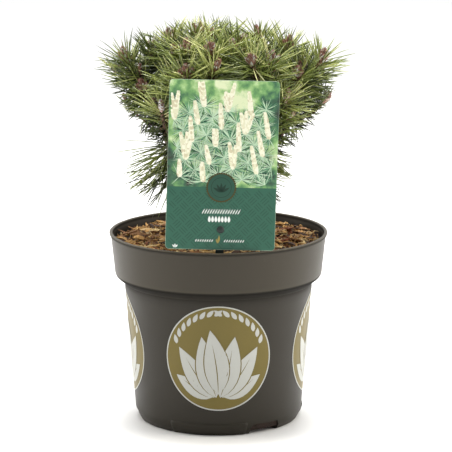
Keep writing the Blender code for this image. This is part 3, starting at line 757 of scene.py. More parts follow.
SOIL_COLOURS = (
    ("ochre", screen(178, 136, 78), 0.28),
    ("brown", screen(130, 90, 52), 0.26),
    ("umber", screen(66, 44, 30), 0.22),
    ("pale", screen(212, 184, 132), 0.15),
    ("russet", screen(124, 70, 42), 0.09),
)
SOIL_EDGE = 90.8 * MM
SOIL_FLOOR = 3.4 * MM
SOIL_RINGS = 70
SOIL_SEGMENTS = 200
SOIL_MOUND = 2.0 * MM
SOIL_RELIEF = 1.8 * MM
SOIL_FILL = 2.4 * MM
SOIL_INSET = 2.0 * MM
LEVEL_PATCH = 20.0 * MM
LUMP_HEIGHT = 1.2 * MM
GRAIN = 160.0
TRUNK_CLEARING = 11.0 * MM
CHIP_WIDTHS = (0.35, 0.9, 1.0, 0.8, 0.3)
CHIP_LENGTHS = (4.0 * MM, 19.0 * MM)
CHIP_TILT = 0.22
CRUMB_LENGTHS = (1.2 * MM, 4.0 * MM)
CRUMB_TILT = 0.5
FLAT_CHIP = 8.0 * MM
FIBRE_STEPS = 6
FIBRE_CURL = 2.6


def soil_level(x, y):
    """The height of the soil's top at a place: a low mound with lumps."""
    base = bpy.context.scene.pine_soil.height
    lumps = math.sin(x * 190.0 + 1.0) * math.cos(y * 170.0) + 0.6 * math.sin(x * 90.0 - y * 260.0)
    radius = math.hypot(x, y)
    rise = min(1.0, radius / LEVEL_PATCH)
    fine = noise.noise(Vector((x, y, 0.0)) * GRAIN) * SOIL_RELIEF
    mound = SOIL_FILL + SOIL_MOUND * (1.0 - radius / SOIL_EDGE)
    return base + rise * (LUMP_HEIGHT * lumps + mound) + fine


def make_soil_bed():
    """The peat under the chips, down to the pot's floor, so that the drain notches show it too."""
    turns = [2.0 * math.pi * i / SOIL_SEGMENTS for i in range(SOIL_SEGMENTS)]
    vertices = []
    for ring in range(SOIL_RINGS + 1):
        radius = max(0.02 * MM, SOIL_EDGE * ring / SOIL_RINGS)
        places = [polar(radius, turn) for turn in turns]
        vertices += [(x, y, soil_level(x, y)) for x, y in places]
    sides = (
        (COLLAR_FOOT[0] - SOIL_INSET, COLLAR_FOOT[1] + MM),
        (BODY_TOP[0] - SOIL_INSET, BODY_TOP[1] + MM),
        (BODY_FOOT[0] - SOIL_INSET, BODY_FOOT[1]),
        (69.9 * MM, SOIL_FLOOR),
        (0.02 * MM, SOIL_FLOOR),
    )
    vertices += [(*polar(radius, turn), height) for radius, height in sides for turn in turns]
    faces = grid_faces(SOIL_RINGS + 1 + len(sides), SOIL_SEGMENTS, True)
    material = peat("dark_peat", screen(52, 36, 26))
    new_piece("soil_bed", vertices, faces, material, True, ("soil",))


def chip_shape(rng, length, width, thickness):
    """A splinter of bark: four-sided rings along its length, uneven and narrowed at the ends."""
    vertices = []
    steps = len(CHIP_WIDTHS) - 1
    bend = rng.uniform(-0.12, 0.12) * length
    for i, share in enumerate(CHIP_WIDTHS):
        along = length * (i / steps - 0.5)
        arch = bend * (1.0 - (2.0 * i / steps - 1.0) ** 2)
        for side, up in ((-1, -1), (1, -1), (1, 1), (-1, 1)):
            x = along + rng.uniform(-0.06, 0.06) * length
            y = side * width * share * rng.uniform(0.38, 0.6)
            z = up * thickness * (0.5 + 0.5 * share) * rng.uniform(0.35, 0.6) + arch
            vertices.append(Vector((x, y, z)))
    return vertices, tube_faces(steps + 1, 4)


def random_spot(rng, edge):
    """A place on the soil, away from the trunk's foot."""
    while True:
        radius = edge * math.sqrt(rng.random())
        if radius > TRUNK_CLEARING:
            return polar(radius, rng.uniform(0.0, 2.0 * math.pi))


def pick(rng, choices):
    """One of the choices, each a row whose last value is its share."""
    mark = rng.random()
    for row in choices:
        mark -= row[-1]
        if mark < 0.0:
            return row
    return choices[-1]


def scatter_chips(rng, heaps, number, shortest, longest, steepest):
    for _ in range(number):
        tint = pick(rng, SOIL_COLOURS)[0]
        length = shortest + (longest - shortest) * rng.random() ** 2.2
        width = max(1.0 * MM, length * rng.uniform(0.16, 0.42))
        thickness = rng.uniform(0.5, 1.6) * MM
        vertices, faces = chip_shape(rng, length, width, thickness)
        x, y = random_spot(rng, SOIL_EDGE - length * 0.42)
        tilt = rng.gauss(0.0, steepest) * min(1.0, FLAT_CHIP / length)
        turn = Matrix.Rotation(rng.uniform(0.0, 2.0 * math.pi), 4, "Z")
        pitch = Matrix.Rotation(tilt, 4, "Y") @ Matrix.Rotation(rng.gauss(0.0, 0.35), 4, "X")
        lift = thickness * rng.uniform(0.2, 1.4) + abs(math.sin(tilt)) * length * 0.22
        height = soil_level(x, y) + lift
        place = Matrix.Translation((x, y, height)) @ turn @ pitch
        heaps[tint].add([place @ v for v in vertices], faces)


def scatter_fibres(rng, heaps, number):
    """Thin coir strands that lie in loose arcs over the chips."""
    for _ in range(number):
        tint = rng.choice(("pale", "pale", "ochre"))
        length = rng.uniform(5.0, 18.0) * MM
        x, y = random_spot(rng, SOIL_EDGE - length * 0.6)
        turn = rng.uniform(0.0, 2.0 * math.pi)
        curl = rng.uniform(-FIBRE_CURL, FIBRE_CURL)
        line = []
        for i in range(FIBRE_STEPS + 1):
            heading = turn + curl * i / FIBRE_STEPS
            x += math.cos(heading) * length / FIBRE_STEPS
            y += math.sin(heading) * length / FIBRE_STEPS
            if math.hypot(x, y) > SOIL_EDGE:
                break
            line.append(Vector((x, y, soil_level(x, y) + rng.uniform(0.6, 2.2) * MM)))
        if len(line) > 2:
            radii = [rng.uniform(0.18, 0.36) * MM] * len(line)
            heaps[tint].add(*tube(line, radii, 3))


def make_soil():
    soil = bpy.context.scene.pine_soil
    make_soil_bed()
    rng = random.Random(SEED)
    heaps = {name: Heap() for name, _, _ in SOIL_COLOURS}
    scatter_chips(rng, heaps, soil.crumbs, *CRUMB_LENGTHS, CRUMB_TILT)
    scatter_chips(rng, heaps, soil.chips, *CHIP_LENGTHS, CHIP_TILT)
    scatter_fibres(rng, heaps, soil.fibres)
    for name, base, _ in SOIL_COLOURS:
        heaps[name].piece("chips_" + name, dry_wood("bark_chip_" + name, base), "soil", False)


# Label


CARD_WIDTH = 92.5 * MM
CARD_HEIGHT = 144.0 * MM
CARD_THICKNESS = 0.7 * MM
CARD_FOOT = Vector((1.4, -88.6, 168.4)) * MM
CARD_YAW = math.radians(3.0)
CARD_LEAN = math.radians(2.0)
CARD_ROLL = math.radians(1.9)
CARD_BORDER = 0.25 * MM
CARD_CORNER = 3.0 * MM
PANEL_TOP = 53.4 * MM
BLANK_BORDER = 8.0 * MM
BLANK_SPAN = (62.0 * MM, 134.0 * MM)
LAYER = 0.02 * MM
SEAL_MIDDLE = (-0.4 * MM, 53.2 * MM)
SEAL_RADIUS = 12.6 * MM
SEAL_SCALLOPS = 40
SEAL_COLUMNS = 64
SEAL_LAYER = 26
FRET_PITCH = 7.4 * MM
STUD_HEIGHT = 17.2 * MM
FRET_REACH = 12
FRET_BAR = 0.85 * MM
FRET_SPREAD = 0.29
FRET_HALF_BAR = 0.42
CORNER_STEPS = 8
TUFT_TINTS = (
    ("deep", screen(34, 74, 58)),
    ("mid", screen(104, 160, 122)),
    ("pale", screen(196, 222, 190)),
)
SPIKE_TINTS = (
    ("tan", screen(216, 208, 172)),
    ("straw", screen(230, 229, 196)),
    ("cream", screen(243, 242, 218)),
)
# How often each tint is picked, by its place in the rows above
TUFT_PICKS = (0, 1, 2, 2)
SPIKE_PICKS = (0, 1, 1, 2, 2, 2)
STRAIGHT = ((0.0, 1.0), (1.0, 1.0))
NARROW_LEAF = ((0.0, 0.3), (0.45, 1.0), (1.0, 0.05))
PICTURE_HIGH = 80.0 * MM
TUFT_LEAVES = 54
TUFT_REACHES = (12.0, 18.0)
TUFT_FLATNESS = 0.85
LEAF_WIDTHS = (0.4, 0.75)
SPIKES = (1, 3)
SPIKE_HEIGHTS = (14.0, 24.0)
SPIKE_HALF_WIDTH = 1.55 * MM
FLORET_LENGTHS = (2.4, 3.2)
FLORET_WIDTHS = (1.7, 2.2)
FLORET_SPACING = 1.25 * MM
FLORET_CORNERS = 8


def card_frame():
    """The card's own frame: x along its width, y through it to the back, z up from its bottom edge."""
    turn = Matrix.Rotation(CARD_YAW, 4, "Z")
    lean = Matrix.Rotation(-CARD_LEAN, 4, "X")
    roll = Matrix.Rotation(CARD_ROLL, 4, "Y")
    return Matrix.Translation(CARD_FOOT) @ turn @ lean @ roll


def on_card(points, layer, back=False):
    """Flat points laid on the card's front or back, a number of thin layers proud of it."""
    place = card_frame()
    depth = CARD_THICKNESS + layer * LAYER if back else -layer * LAYER
    return [place @ Vector((x, depth, z)) for x, z in points]


def panel_outline(low, high, border, round_low, round_high):
    """The outline of a panel across the card between two heights, with its outer corners rounded."""
    half = CARD_WIDTH / 2.0 - border
    corner = CARD_CORNER - border
    points = []
    for x, z, first, is_round in (
        (half, low, -90.0, round_low),
        (half, high, 0.0, round_high),
        (-half, high, 90.0, round_high),
        (-half, low, 180.0, round_low),
    ):
        if not is_round:
            points.append((x, z))
            continue
        middle = (x - math.copysign(corner, x), z + (corner if z == low else -corner))
        for i in range(CORNER_STEPS + 1):
            across, up = polar(corner, math.radians(first + 90.0 * i / CORNER_STEPS))
            points.append((middle[0] + across, middle[1] + up))
    return points


def print_flat(name, shape, faces, ink, layer, back=False):
    """One flat shape printed on the card."""
    new_piece(name, on_card(shape, layer, back), faces, ink, False)


def fret_bars():
    """A woven pattern of short diagonal bars, turned alternately one way and the other."""
    pitch = FRET_PITCH
    step = pitch * 0.707
    bars = []
    for row in range(-FRET_REACH, FRET_REACH + 1):
        for column in range(-FRET_REACH, FRET_REACH + 1):
            lean = math.pi / 4.0 if (row + column) % 2 else -math.pi / 4.0
            middle = Vector(((row - column) * step, PANEL_TOP / 2.0 + (row + column) * step))
            along = Vector((math.cos(lean), math.sin(lean)))
            across = Vector((-along.y, along.x))
            for offset in (-1.0, 0.0, 1.0):
                centre = middle + across * offset * pitch * FRET_SPREAD
                half = along * pitch * FRET_HALF_BAR
                ends = (centre - half, centre + half)
                if all(inside_panel(end) for end in ends):
                    bars.append(strip_points(*ends, FRET_BAR))
    return bars


def inside_panel(point):
    return abs(point[0]) < CARD_WIDTH / 2.0 - MM and 1.4 * MM < point[1] < PANEL_TOP - MM


def tuft(rng, root, reach):
    """A tuft of narrow leaves that spread all round one root."""
    shapes = []
    for i in range(TUFT_LEAVES):
        angle = 2.0 * math.pi * (i + rng.uniform(-0.4, 1.4)) / TUFT_LEAVES
        length = reach * rng.uniform(0.6, 1.0)
        tip = (root[0] + length * math.cos(angle), root[1] + length * TUFT_FLATNESS * math.sin(angle))
        shapes.append(strip_points(root, tip, rng.uniform(*LEAF_WIDTHS) * MM, NARROW_LEAF))
    return shapes


def oval_points(middle, angle, length, width):
    """A floret's oval outline, with its length at an angle from the horizontal."""
    points = []
    for i in range(FLORET_CORNERS):
        turn = 2.0 * math.pi * i / FLORET_CORNERS
        along = 0.5 * length * math.cos(turn)
        across = 0.5 * width * math.sin(turn)
        x = middle[0] + along * math.cos(angle) - across * math.sin(angle)
        points.append((x, middle[1] + along * math.sin(angle) + across * math.cos(angle)))
    return points


def flower_spike(rng, root, height, lean):
    """A blunt upright spike of small florets, which overlap in rows along a leaning middle line."""
    shapes = []
    rows = int(height / FLORET_SPACING)
    for row in range(rows):
        share = (row + 0.5) / rows
        half = SPIKE_HALF_WIDTH * (1.0 - share) ** 0.4 * min(1.0, 0.6 + 2.0 * share)
        rise = height * share
        for side in (-1.0, 1.0, 0.0):
            across = side * half + rng.uniform(-0.15, 0.15) * MM
            middle = (root[0] + rise * math.sin(lean) + across, root[1] + rise * math.cos(lean))
            angle = math.pi / 2.0 - side * 0.45 - lean
            length = rng.uniform(*FLORET_LENGTHS) * MM
            shapes.append(oval_points(middle, angle, length, rng.uniform(*FLORET_WIDTHS) * MM))
    return shapes


def strip_points(start, end, width, rows=STRAIGHT):
    """A narrow band from start to end. rows gives its cross rows: how far along, and how wide."""
    along = Vector(end) - Vector(start)
    side = Vector((-along.y, along.x)).normalized() * width / 2.0
    points = []
    for share, wide in rows:
        middle = Vector(start) + along * share
        points += [tuple(middle - side * wide), tuple(middle + side * wide)]
    return points


def inside_picture(point):
    x, z = point
    return abs(x) < CARD_WIDTH / 2.0 - 1.1 * MM and PANEL_TOP + 0.3 * MM < z < CARD_HEIGHT - 1.2 * MM


def picture_spots(number):
    """Places in the picture, spread evenly from its top down by the golden section."""
    width = CARD_WIDTH - 8.0 * MM
    spots = []
    for i in range(number):
        x = width * ((i * GOLDEN_SHARE + 0.3) % 1.0 - 0.5)
        rise = PICTURE_HIGH * 0.84 * (1.0 - (i + 0.5) / number)
        spots.append((x, PANEL_TOP + 2.0 * MM + rise))
    return spots


def make_picture(rng, number):
    """Clusters of cream flower spikes over tufts of narrow leaves, with blurred greenery behind them."""
    outline = panel_outline(PANEL_TOP, CARD_HEIGHT - CARD_BORDER, CARD_BORDER, False, True)
    greenery = blurred_greenery("blurred_greenery")
    print_flat("label_picture", outline, [range(len(outline))], greenery, 1)
    tints = TUFT_TINTS + SPIKE_TINTS
    heaps = {name: Heap() for name, _ in tints}
    for index, root in enumerate(picture_spots(number)):
        layer = 2.0 + 20.0 * index / number
        for i, points in enumerate(tuft(rng, root, rng.uniform(*TUFT_REACHES) * MM)):
            kind = rng.choice(TUFT_PICKS)
            proud = layer + 0.15 * kind + 0.05 * (i % 3)
            add_print(heaps[TUFT_TINTS[kind][0]], points, proud, grid_faces(3, 2))
        if index % 2:
            continue
        for i in range(rng.randint(*SPIKES)):
            lean = rng.uniform(-0.12, 0.12) + 0.2 * (i - 0.8)
            spike = flower_spike(rng, root, rng.uniform(*SPIKE_HEIGHTS) * MM, lean)
            for floret, points in enumerate(spike):
                kind = rng.choice(SPIKE_PICKS)
                proud = layer + 0.6 + 0.55 * i + 0.06 * (floret % 9)
                add_print(heaps[SPIKE_TINTS[kind][0]], points, proud, [range(FLORET_CORNERS)])
    for name, shade in tints:
        ink = printed_ink("picture_" + name, shade, 0.38)
        heaps[name].piece("picture_" + name, ink, "label_print", False)


def add_print(heap, points, layer, faces):
    """Add a flat shape to a heap if all of it lies inside the picture."""
    if all(inside_picture(point) for point in points):
        heap.add(on_card(points, layer), faces)


def round_seal(points):
    """Points laid round the seal's middle instead of the card's."""
    return [(SEAL_MIDDLE[0] + x, SEAL_MIDDLE[1] + z) for x, z in points]


def make_seal(label):
    """A round seal with a scalloped dark gold rim and a small sprig."""
    columns = SEAL_SCALLOPS * 4
    circle_faces = grid_faces(2, SEAL_COLUMNS, True)
    rim = ring_points(SEAL_RADIUS - 1.2 * MM, SEAL_RADIUS, 2, columns)
    for column in range(columns):
        wave = 1.0 + 0.035 * math.cos(SEAL_SCALLOPS * 2.0 * math.pi * column / columns)
        x, z = rim[columns + column]
        rim[columns + column] = (x * wave, z * wave)
    gold = printed_ink("seal_gold", shaded(label.gold, 0.2), 0.35)
    print_flat("seal_rim", round_seal(rim), grid_faces(2, columns, True), gold, SEAL_LAYER + 1)
    field = round_seal(ring_points(NO_RADIUS, SEAL_RADIUS - MM, 2, SEAL_COLUMNS))
    green = printed_ink("seal_green", shaded(label.green, 0.66))
    print_flat("seal_field", field, circle_faces, green, SEAL_LAYER)
    lines = Heap()
    circle = round_seal(ring_points(8.2 * MM, 8.6 * MM, 2, SEAL_COLUMNS))
    lines.add(on_card(circle, SEAL_LAYER + 1), circle_faces)
    for degrees in (30.0, 60.0, 90.0, 120.0, 150.0):
        points = round_seal(leaf_points((0.0, -4.0 * MM), math.radians(degrees), 8.0 * MM, 2.2 * MM))
        lines.add(on_card(points, SEAL_LAYER + 1), LEAF_FACES)
    lines.piece("seal_sprig", printed_ink("seal_line", shaded(label.green, 0.3)), "label_print", False)


def leaf_row(middle, height, number, pitch, length, width, degrees):
    """A row of small leaves, all alike, that lean the same way."""
    first = middle - (number - 1) * pitch / 2.0
    angle = math.radians(degrees)
    rows = ((first + i * pitch, height) for i in range(number))
    return [leaf_points((x * MM, z * MM), angle, length * MM, width * MM) for x, z in rows]


def ornament_shapes():
    """Rows of small pale leaves on the label's lower part, and a little fan of them in its corner."""
    leaves = leaf_row(-1.0, 30.4, 15, 2.15, 5.2, 0.85, 62.0)
    leaves += leaf_row(-1.4, 23.4, 7, 2.75, 5.4, 2.4, 90.0)
    leaves += leaf_row(-14.2, 6.4, 8, 1.95, 2.9, 0.8, 62.0)
    leaves += leaf_row(11.1, 6.4, 9, 1.95, 2.9, 0.8, 62.0)
    for degrees in (45.0, 90.0, 135.0):
        leaves.append(leaf_points((-38.0 * MM, 1.4 * MM), math.radians(degrees), 3.2 * MM, 1.5 * MM))
    return leaves


def gold_sprig():
    long_leaf = leaf_points((-2.6 * MM, 5.4 * MM), math.radians(55.0), 7.2 * MM, 2.0 * MM, 0.4)
    short_leaf = leaf_points((-2.2 * MM, 6.2 * MM), math.radians(125.0), 3.4 * MM, 1.3 * MM, -0.3)
    return [long_leaf, short_leaf]


def make_label():
    label = bpy.context.scene.pine_label
    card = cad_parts["label_card"]
    card.data.materials.clear()
    card.data.materials.append(printed_ink("card_edge", tuple(label.edge), 0.35))
    outline = panel_outline(CARD_BORDER, PANEL_TOP, CARD_BORDER, True, False)
    ground = printed_ink("label_green", tuple(label.green), 0.36)
    print_flat("label_panel", outline, [range(len(outline))], ground, 1)
    fret = Heap()
    for bar in fret_bars():
        fret.add(on_card(bar, 2), grid_faces(2, 2))
    fret.piece("label_fret", printed_ink("label_fret", tuple(label.fret), 0.36), "label_print", False)
    make_picture(random.Random(SEED + 1), label.clusters)
    make_seal(label)
    white = printed_ink("label_white", screen(232, 236, 232), 0.36)
    gold = printed_ink("label_gold", tuple(label.gold), 0.36)
    for name, leaves, ink in (("ornament", ornament_shapes(), white), ("sprig", gold_sprig(), gold)):
        heap = Heap()
        for points in leaves:
            heap.add(on_card(points, 3), LEAF_FACES)
        heap.piece("label_" + name, ink, "label_print", False)
    make_label_back(label)


def make_label_back(label):
    """The back of the card: plain green with a blank pale panel."""
    outline = panel_outline(CARD_BORDER, CARD_HEIGHT - CARD_BORDER, CARD_BORDER, True, True)
    faces = [tuple(reversed(range(len(outline))))]
    green = printed_ink("label_back", shaded(label.green, 0.9), 0.4)
    print_flat("label_back", outline, faces, green, 1, True)
    half = CARD_WIDTH / 2.0 - BLANK_BORDER
    low, high = BLANK_SPAN
    blank = [(-half, low), (half, low), (half, high), (-half, high)]
    pale = printed_ink("label_blank", screen(214, 220, 210), 0.4)
    print_flat("label_blank", blank, [(3, 2, 1, 0)], pale, 2, True)


# Peg


PEG_WIDTH = 7.0 * MM
PEG_THICKNESS = 1.8 * MM
PEG_ABOVE_STUD = 5.0 * MM
PEG_BEND_HEIGHT = 166.0 * MM
PEG_FOOT_HEIGHT = 138.0 * MM
PEG_GAP = 0.3 * MM
STUD_RADIUS = 3.1 * MM
STUD_THICKNESS = 1.8 * MM


def peg_strip():
    """The peg's flat stem: upright in the soil, then leaning with the card behind its back."""
    place = card_frame()
    front = CARD_THICKNESS + PEG_GAP
    back = front + PEG_THICKNESS
    half = PEG_WIDTH / 2.0
    rings = []
    for z in (STUD_HEIGHT + PEG_ABOVE_STUD, PEG_BEND_HEIGHT - CARD_FOOT.z):
        corners = ((-half, front), (half, front), (half, back), (-half, back))
        rings.append([place @ Vector((x, y, z)) for x, y in corners])
    rings.append([Vector((p.x, p.y, PEG_FOOT_HEIGHT)) for p in rings[-1]])
    return [p for ring in reversed(rings) for p in ring], tube_faces(len(rings), 4)


def make_peg():
    material = moulded_plastic("peg_plastic", screen(44, 52, 49), 0.3)
    vertices, faces = peg_strip()
    peg = new_piece("peg_stem", vertices, faces, material, False, ("label_peg",))
    bevel = peg.modifiers.new("round", "BEVEL")
    bevel.width = 0.4 * MM
    bevel.segments = 3
    dome = rounded(
        (
            (0.0, 0.0, 0.0),
            (STUD_RADIUS, 0.0, 0.2 * MM),
            (STUD_RADIUS, STUD_THICKNESS * 0.35, 1.0 * MM),
            (STUD_RADIUS * 0.6, STUD_THICKNESS * 0.95, 1.4 * MM),
            (0.0, STUD_THICKNESS, 0.0),
        )
    )
    points, faces = lathe([(max(radius, 0.01 * MM), height) for radius, height in dome], 48)
    upright = Matrix.Rotation(math.pi / 2.0, 4, "X")
    place = card_frame() @ Matrix.Translation((0.0, -PEG_GAP, STUD_HEIGHT)) @ upright
    stud = [place @ Vector(point) for point in points]
    new_piece("peg_stud", stud, faces, material, True)


# The plant's skeleton, by the same rule as the solids


TRUNK_LINE = tuple(
    Vector(point) * MM
    for point in ((0.0, 0.0, 0.0), (2.5, -2.0, 34.0), (-1.5, 2.0, 66.0), (-3.0, 2.0, 92.0))
)
TRUNK_FLARE_RADIUS = 10.5 * MM
TRUNK_FLARE_HEIGHT = 9.0 * MM
TRUNK_RADIUS = 8.0 * MM
TRUNK_TOP_RADIUS = 3.6 * MM

# Each bough leaves the trunk at its fork height and carries a mass of needles that ends in a bud at its
# reach and height. Sizes are in millimetres and angles in degrees, 0 at +X and 270 at the front.
Bough = namedtuple("Bough", "name azimuth reach height fork radius rise_start rise_end shoots needle")
BOUGHS = (
    Bough("right", 0, 93, 326, 189, 4.3, 42, 66, 3, 29),
    Bough("left", 180, 84, 327, 201, 4.2, 42, 64, 3, 27),
    Bough("back_left", 134, 78, 318, 188, 4.0, 42, 66, 3, 29),
    Bough("back_right", 46, 84, 316, 170, 4.0, 42, 66, 3, 29),
    Bough("back", 92, 78, 322, 178, 3.8, 44, 68, 3, 30),
    Bough("front_right", 323, 59, 329, 198, 3.8, 48, 72, 3, 30),
    Bough("front_left", 245, 66, 321, 192, 3.8, 46, 72, 3, 30),
    Bough("left_lower", 216, 70, 288, 183, 3.4, 38, 54, 2, 22),
    Bough("right_lower", 326, 74, 296, 176, 3.4, 38, 56, 2, 24),
    Bough("left_top", 170, 45, 343, 215, 3.2, 58, 76, 2, 30),
    Bough("right_top", 17, 66, 335, 205, 3.2, 54, 74, 2, 30),
    Bough("front_top_left", 226, 40, 339, 206, 3.0, 60, 80, 1, 30),
    Bough("front_top_right", 301, 24, 337, 218, 3.0, 64, 84, 1, 30),
    Bough("back_top", 84, 44, 338, 212, 3.0, 60, 80, 2, 30),
    Bough("low_left", 198, 47, 256, 171, 2.6, 20, 84, 0, 46),
    Bough("low_right", 346, 42, 250, 163, 2.6, 20, 84, 0, 27),
    Bough("low_back", 108, 50, 246, 166, 2.6, 28, 80, 0, 36),
)
LEADER_TIP = Vector((-6.0, 3.0, 343.0)) * MM
LEADER_SHOOTS = 2
BARE_SHARE = 0.45
BOUGH_END_TAPER = 0.8
LINE_STEPS = 32
HANDLE = 0.38
SHOOT_LENGTH_SPREAD = 0.2
SHOOT_ANGLE = math.radians(52.0)
SHOOT_LIFT = 0.55
SHOOT_TRIES = 9
TIP_RADIUS = 1.9 * MM
TWIG_OWNER = "left"
TWIG_SHARE = 0.06
TWIG_AZIMUTH = math.radians(188.0)
TWIG_TIP = Vector((-82.0, -2.0, 286.0)) * MM
TWIG_START_RISE = math.radians(2.0)
TWIG_END_RISE = math.radians(62.0)
TWIG_RADIUS = 0.8 * MM
TWIG_BARE = 0.72
TWIG_NEEDLE = 18.0 * MM
BUD_LENGTH = 13.0 * MM

# The crown's outline: a low dome over a cone that widens upward from a waist. Masses whose name starts
# with "low" hang below the cone.
CROWN_MIDDLE_X = 4.0 * MM
CROWN_TOP = 356.0 * MM
CROWN_DOME = 1.9
WAIST_HEIGHT = 238.0 * MM
WAIST_RADIUS = 64.0 * MM
WAIST_FLARE = 0.63
HANGING = "low"
HANGING_ANGLE = math.radians(103.0)

# How long and thick side shoots are, the room they need, and on which share of the stem they grow. The
# finer ones, one for each stem, are in the dressed plant alone.
Growth = namedtuple("Growth", "length radius space first last")
SIDE_SHOOTS = Growth(44.0 * MM, 2.2 * MM, 8.0 * MM, 0.15, 0.66)
FINE_SHOOTS = Growth(27.0 * MM, 1.5 * MM, 4.5 * MM, 0.3, 0.8)

Shoot = namedtuple("Shoot", "line radius bare")


def rng_for(name):
    return random.Random(f"{SEED} {name}")


def curve(a, b, c, d, steps=LINE_STEPS):
    line = []
    for i in range(steps + 1):
        t = i / steps
        s = 1.0 - t
        line.append(a * s**3 + b * (3 * s * s * t) + c * (3 * s * t * t) + d * t**3)
    return line


def reach_curve(start, start_way, end, end_way):
    """The curve that leaves start along start_way and arrives at end along end_way."""
    handle = (end - start).length * HANDLE
    return curve(start, start + start_way * handle, end - end_way * handle, end)


def point_at(line, share):
    """The point a share of the way along a line, and the line's direction there."""
    place = min(max(share, 0.0), 1.0) * (len(line) - 1)
    i = min(int(place), len(line) - 2)
    step = line[i + 1] - line[i]
    return line[i] + step * (place - i), step.normalized()


def stretch(line, start, end, steps=LINE_STEPS):
    return [point_at(line, start + (end - start) * i / steps)[0] for i in range(steps + 1)]


def length_of(line):
    return sum((b - a).length for a, b in zip(line, line[1:]))


def way(azimuth, rise):
    """The direction at an angle round the Z axis and a rise above the level."""
    return Vector((*polar(math.cos(rise), azimuth), math.sin(rise)))


def square_to(direction):
    """Two unit vectors square to a direction and to each other."""
    side = direction.cross(UP)
    if side.length < 1e-3:
        side = direction.cross(Vector((1.0, 0.0, 0.0)))
    side.normalize()
    return side, side.cross(direction).normalized()


def turned(direction, angle, round_angle):
    """The direction that makes an angle with another, swung round it by round_angle."""
    side, over = square_to(direction)
    radial = side * math.cos(round_angle) + over * math.sin(round_angle)
    return (direction * math.cos(angle) + radial * math.sin(angle)).normalized()


def trunk_line():
    foot = Vector((0.0, 0.0, bpy.context.scene.pine_soil.height))
    return curve(*(foot + point for point in TRUNK_LINE))


def trunk_radii(line):
    radii = []
    for i, point in enumerate(line):
        share = i / (len(line) - 1)
        plain = TRUNK_RADIUS + (TRUNK_TOP_RADIUS - TRUNK_RADIUS) * share
        flare = max(0.0, 1.0 - (point.z - line[0].z) / TRUNK_FLARE_HEIGHT)
        radii.append(plain + (TRUNK_FLARE_RADIUS - TRUNK_RADIUS) * flare * flare)
    return radii


def bough_line(row, trunk):
    share = (row.fork * MM - trunk[0].z) / (trunk[-1].z - trunk[0].z)
    root, _ = point_at(trunk, share)
    azimuth = math.radians(row.azimuth)
    tip = way(azimuth, 0.0) * (row.reach * MM) + UP * (row.height * MM)
    out = tip - root
    heading = math.atan2(out.y, out.x)
    start_way = way(heading, math.radians(row.rise_start))
    end_way = way(heading, math.radians(row.rise_end))
    return reach_curve(root, start_way, tip, end_way)


def as_array(line):
    return np.array([tuple(point) for point in line])


def nearest(points, others):
    """For each point, its distance to the nearest of the others."""
    return np.linalg.norm(points[:, None, :] - others[None, :, :], axis=2).min(axis=1)


def near_card(points, margin):
    """Which points lie in front of the card's back, or within a margin of it, below its top edge."""
    inverse = np.array(card_frame().inverted())
    local = points @ inverse[:3, :3].T + inverse[:3, 3]
    across = np.abs(local[:, 0]) < CARD_WIDTH / 2.0 + margin
    below = local[:, 2] < CARD_HEIGHT + margin
    return across & below & (local[:, 1] < CARD_THICKNESS + margin)


def in_crown(points, has_waist=True):
    """Which points lie inside the crown's outline."""
    radius = np.hypot(points[:, 0] - CROWN_MIDDLE_X, points[:, 1])
    inside = points[:, 2] < CROWN_TOP - CROWN_DOME * radius**2
    if has_waist:
        inside &= radius < WAIST_RADIUS + WAIST_FLARE * (points[:, 2] - WAIST_HEIGHT)
    return inside


def side_shoots(name, stem, number, taken, growth=SIDE_SHOOTS):
    """The shoots that leave a stem, each turned on by the golden angle until it has room to grow."""
    rng = rng_for(name)
    turn = rng.uniform(0.0, 2.0 * math.pi)
    shoots = []
    for i in range(number):
        share = growth.first + (growth.last - growth.first) * (i + 0.5) / number
        root, along = point_at(stem.line, share)
        reach = growth.length * (1.0 + SHOOT_LENGTH_SPREAD * rng.uniform(-1.0, 1.0))
        for _ in range(SHOOT_TRIES):
            turn += GOLDEN_ANGLE
            first_way = turned(along, SHOOT_ANGLE, turn)
            last_way = (first_way * (1.0 - SHOOT_LIFT) + UP * SHOOT_LIFT).normalized()
            tip = root + (first_way + last_way).normalized() * reach
            line = reach_curve(root, first_way, tip, last_way)
            if has_room(line, taken, growth.space):
                shoots.append(Shoot(line, growth.radius, 0.0))
                taken.append(as_array(line))
                break
    return shoots


def has_room(line, taken, space):
    """Whether a shoot's outer part is clear of the card and of the other shoots, inside the crown."""
    outer = as_array(line[len(line) // 3 :])
    if near_card(outer, SIDE_SHOOTS.space).any() or not in_crown(outer).all():
        return False
    return nearest(outer, np.concatenate(taken)).min() > space


def thin_twig(stem):
    root, _ = point_at(stem.line, TWIG_SHARE)
    start_way = way(TWIG_AZIMUTH, TWIG_START_RISE)
    line = reach_curve(root, start_way, TWIG_TIP, way(TWIG_AZIMUTH, TWIG_END_RISE))
    return Shoot(line, TWIG_RADIUS, TWIG_BARE)


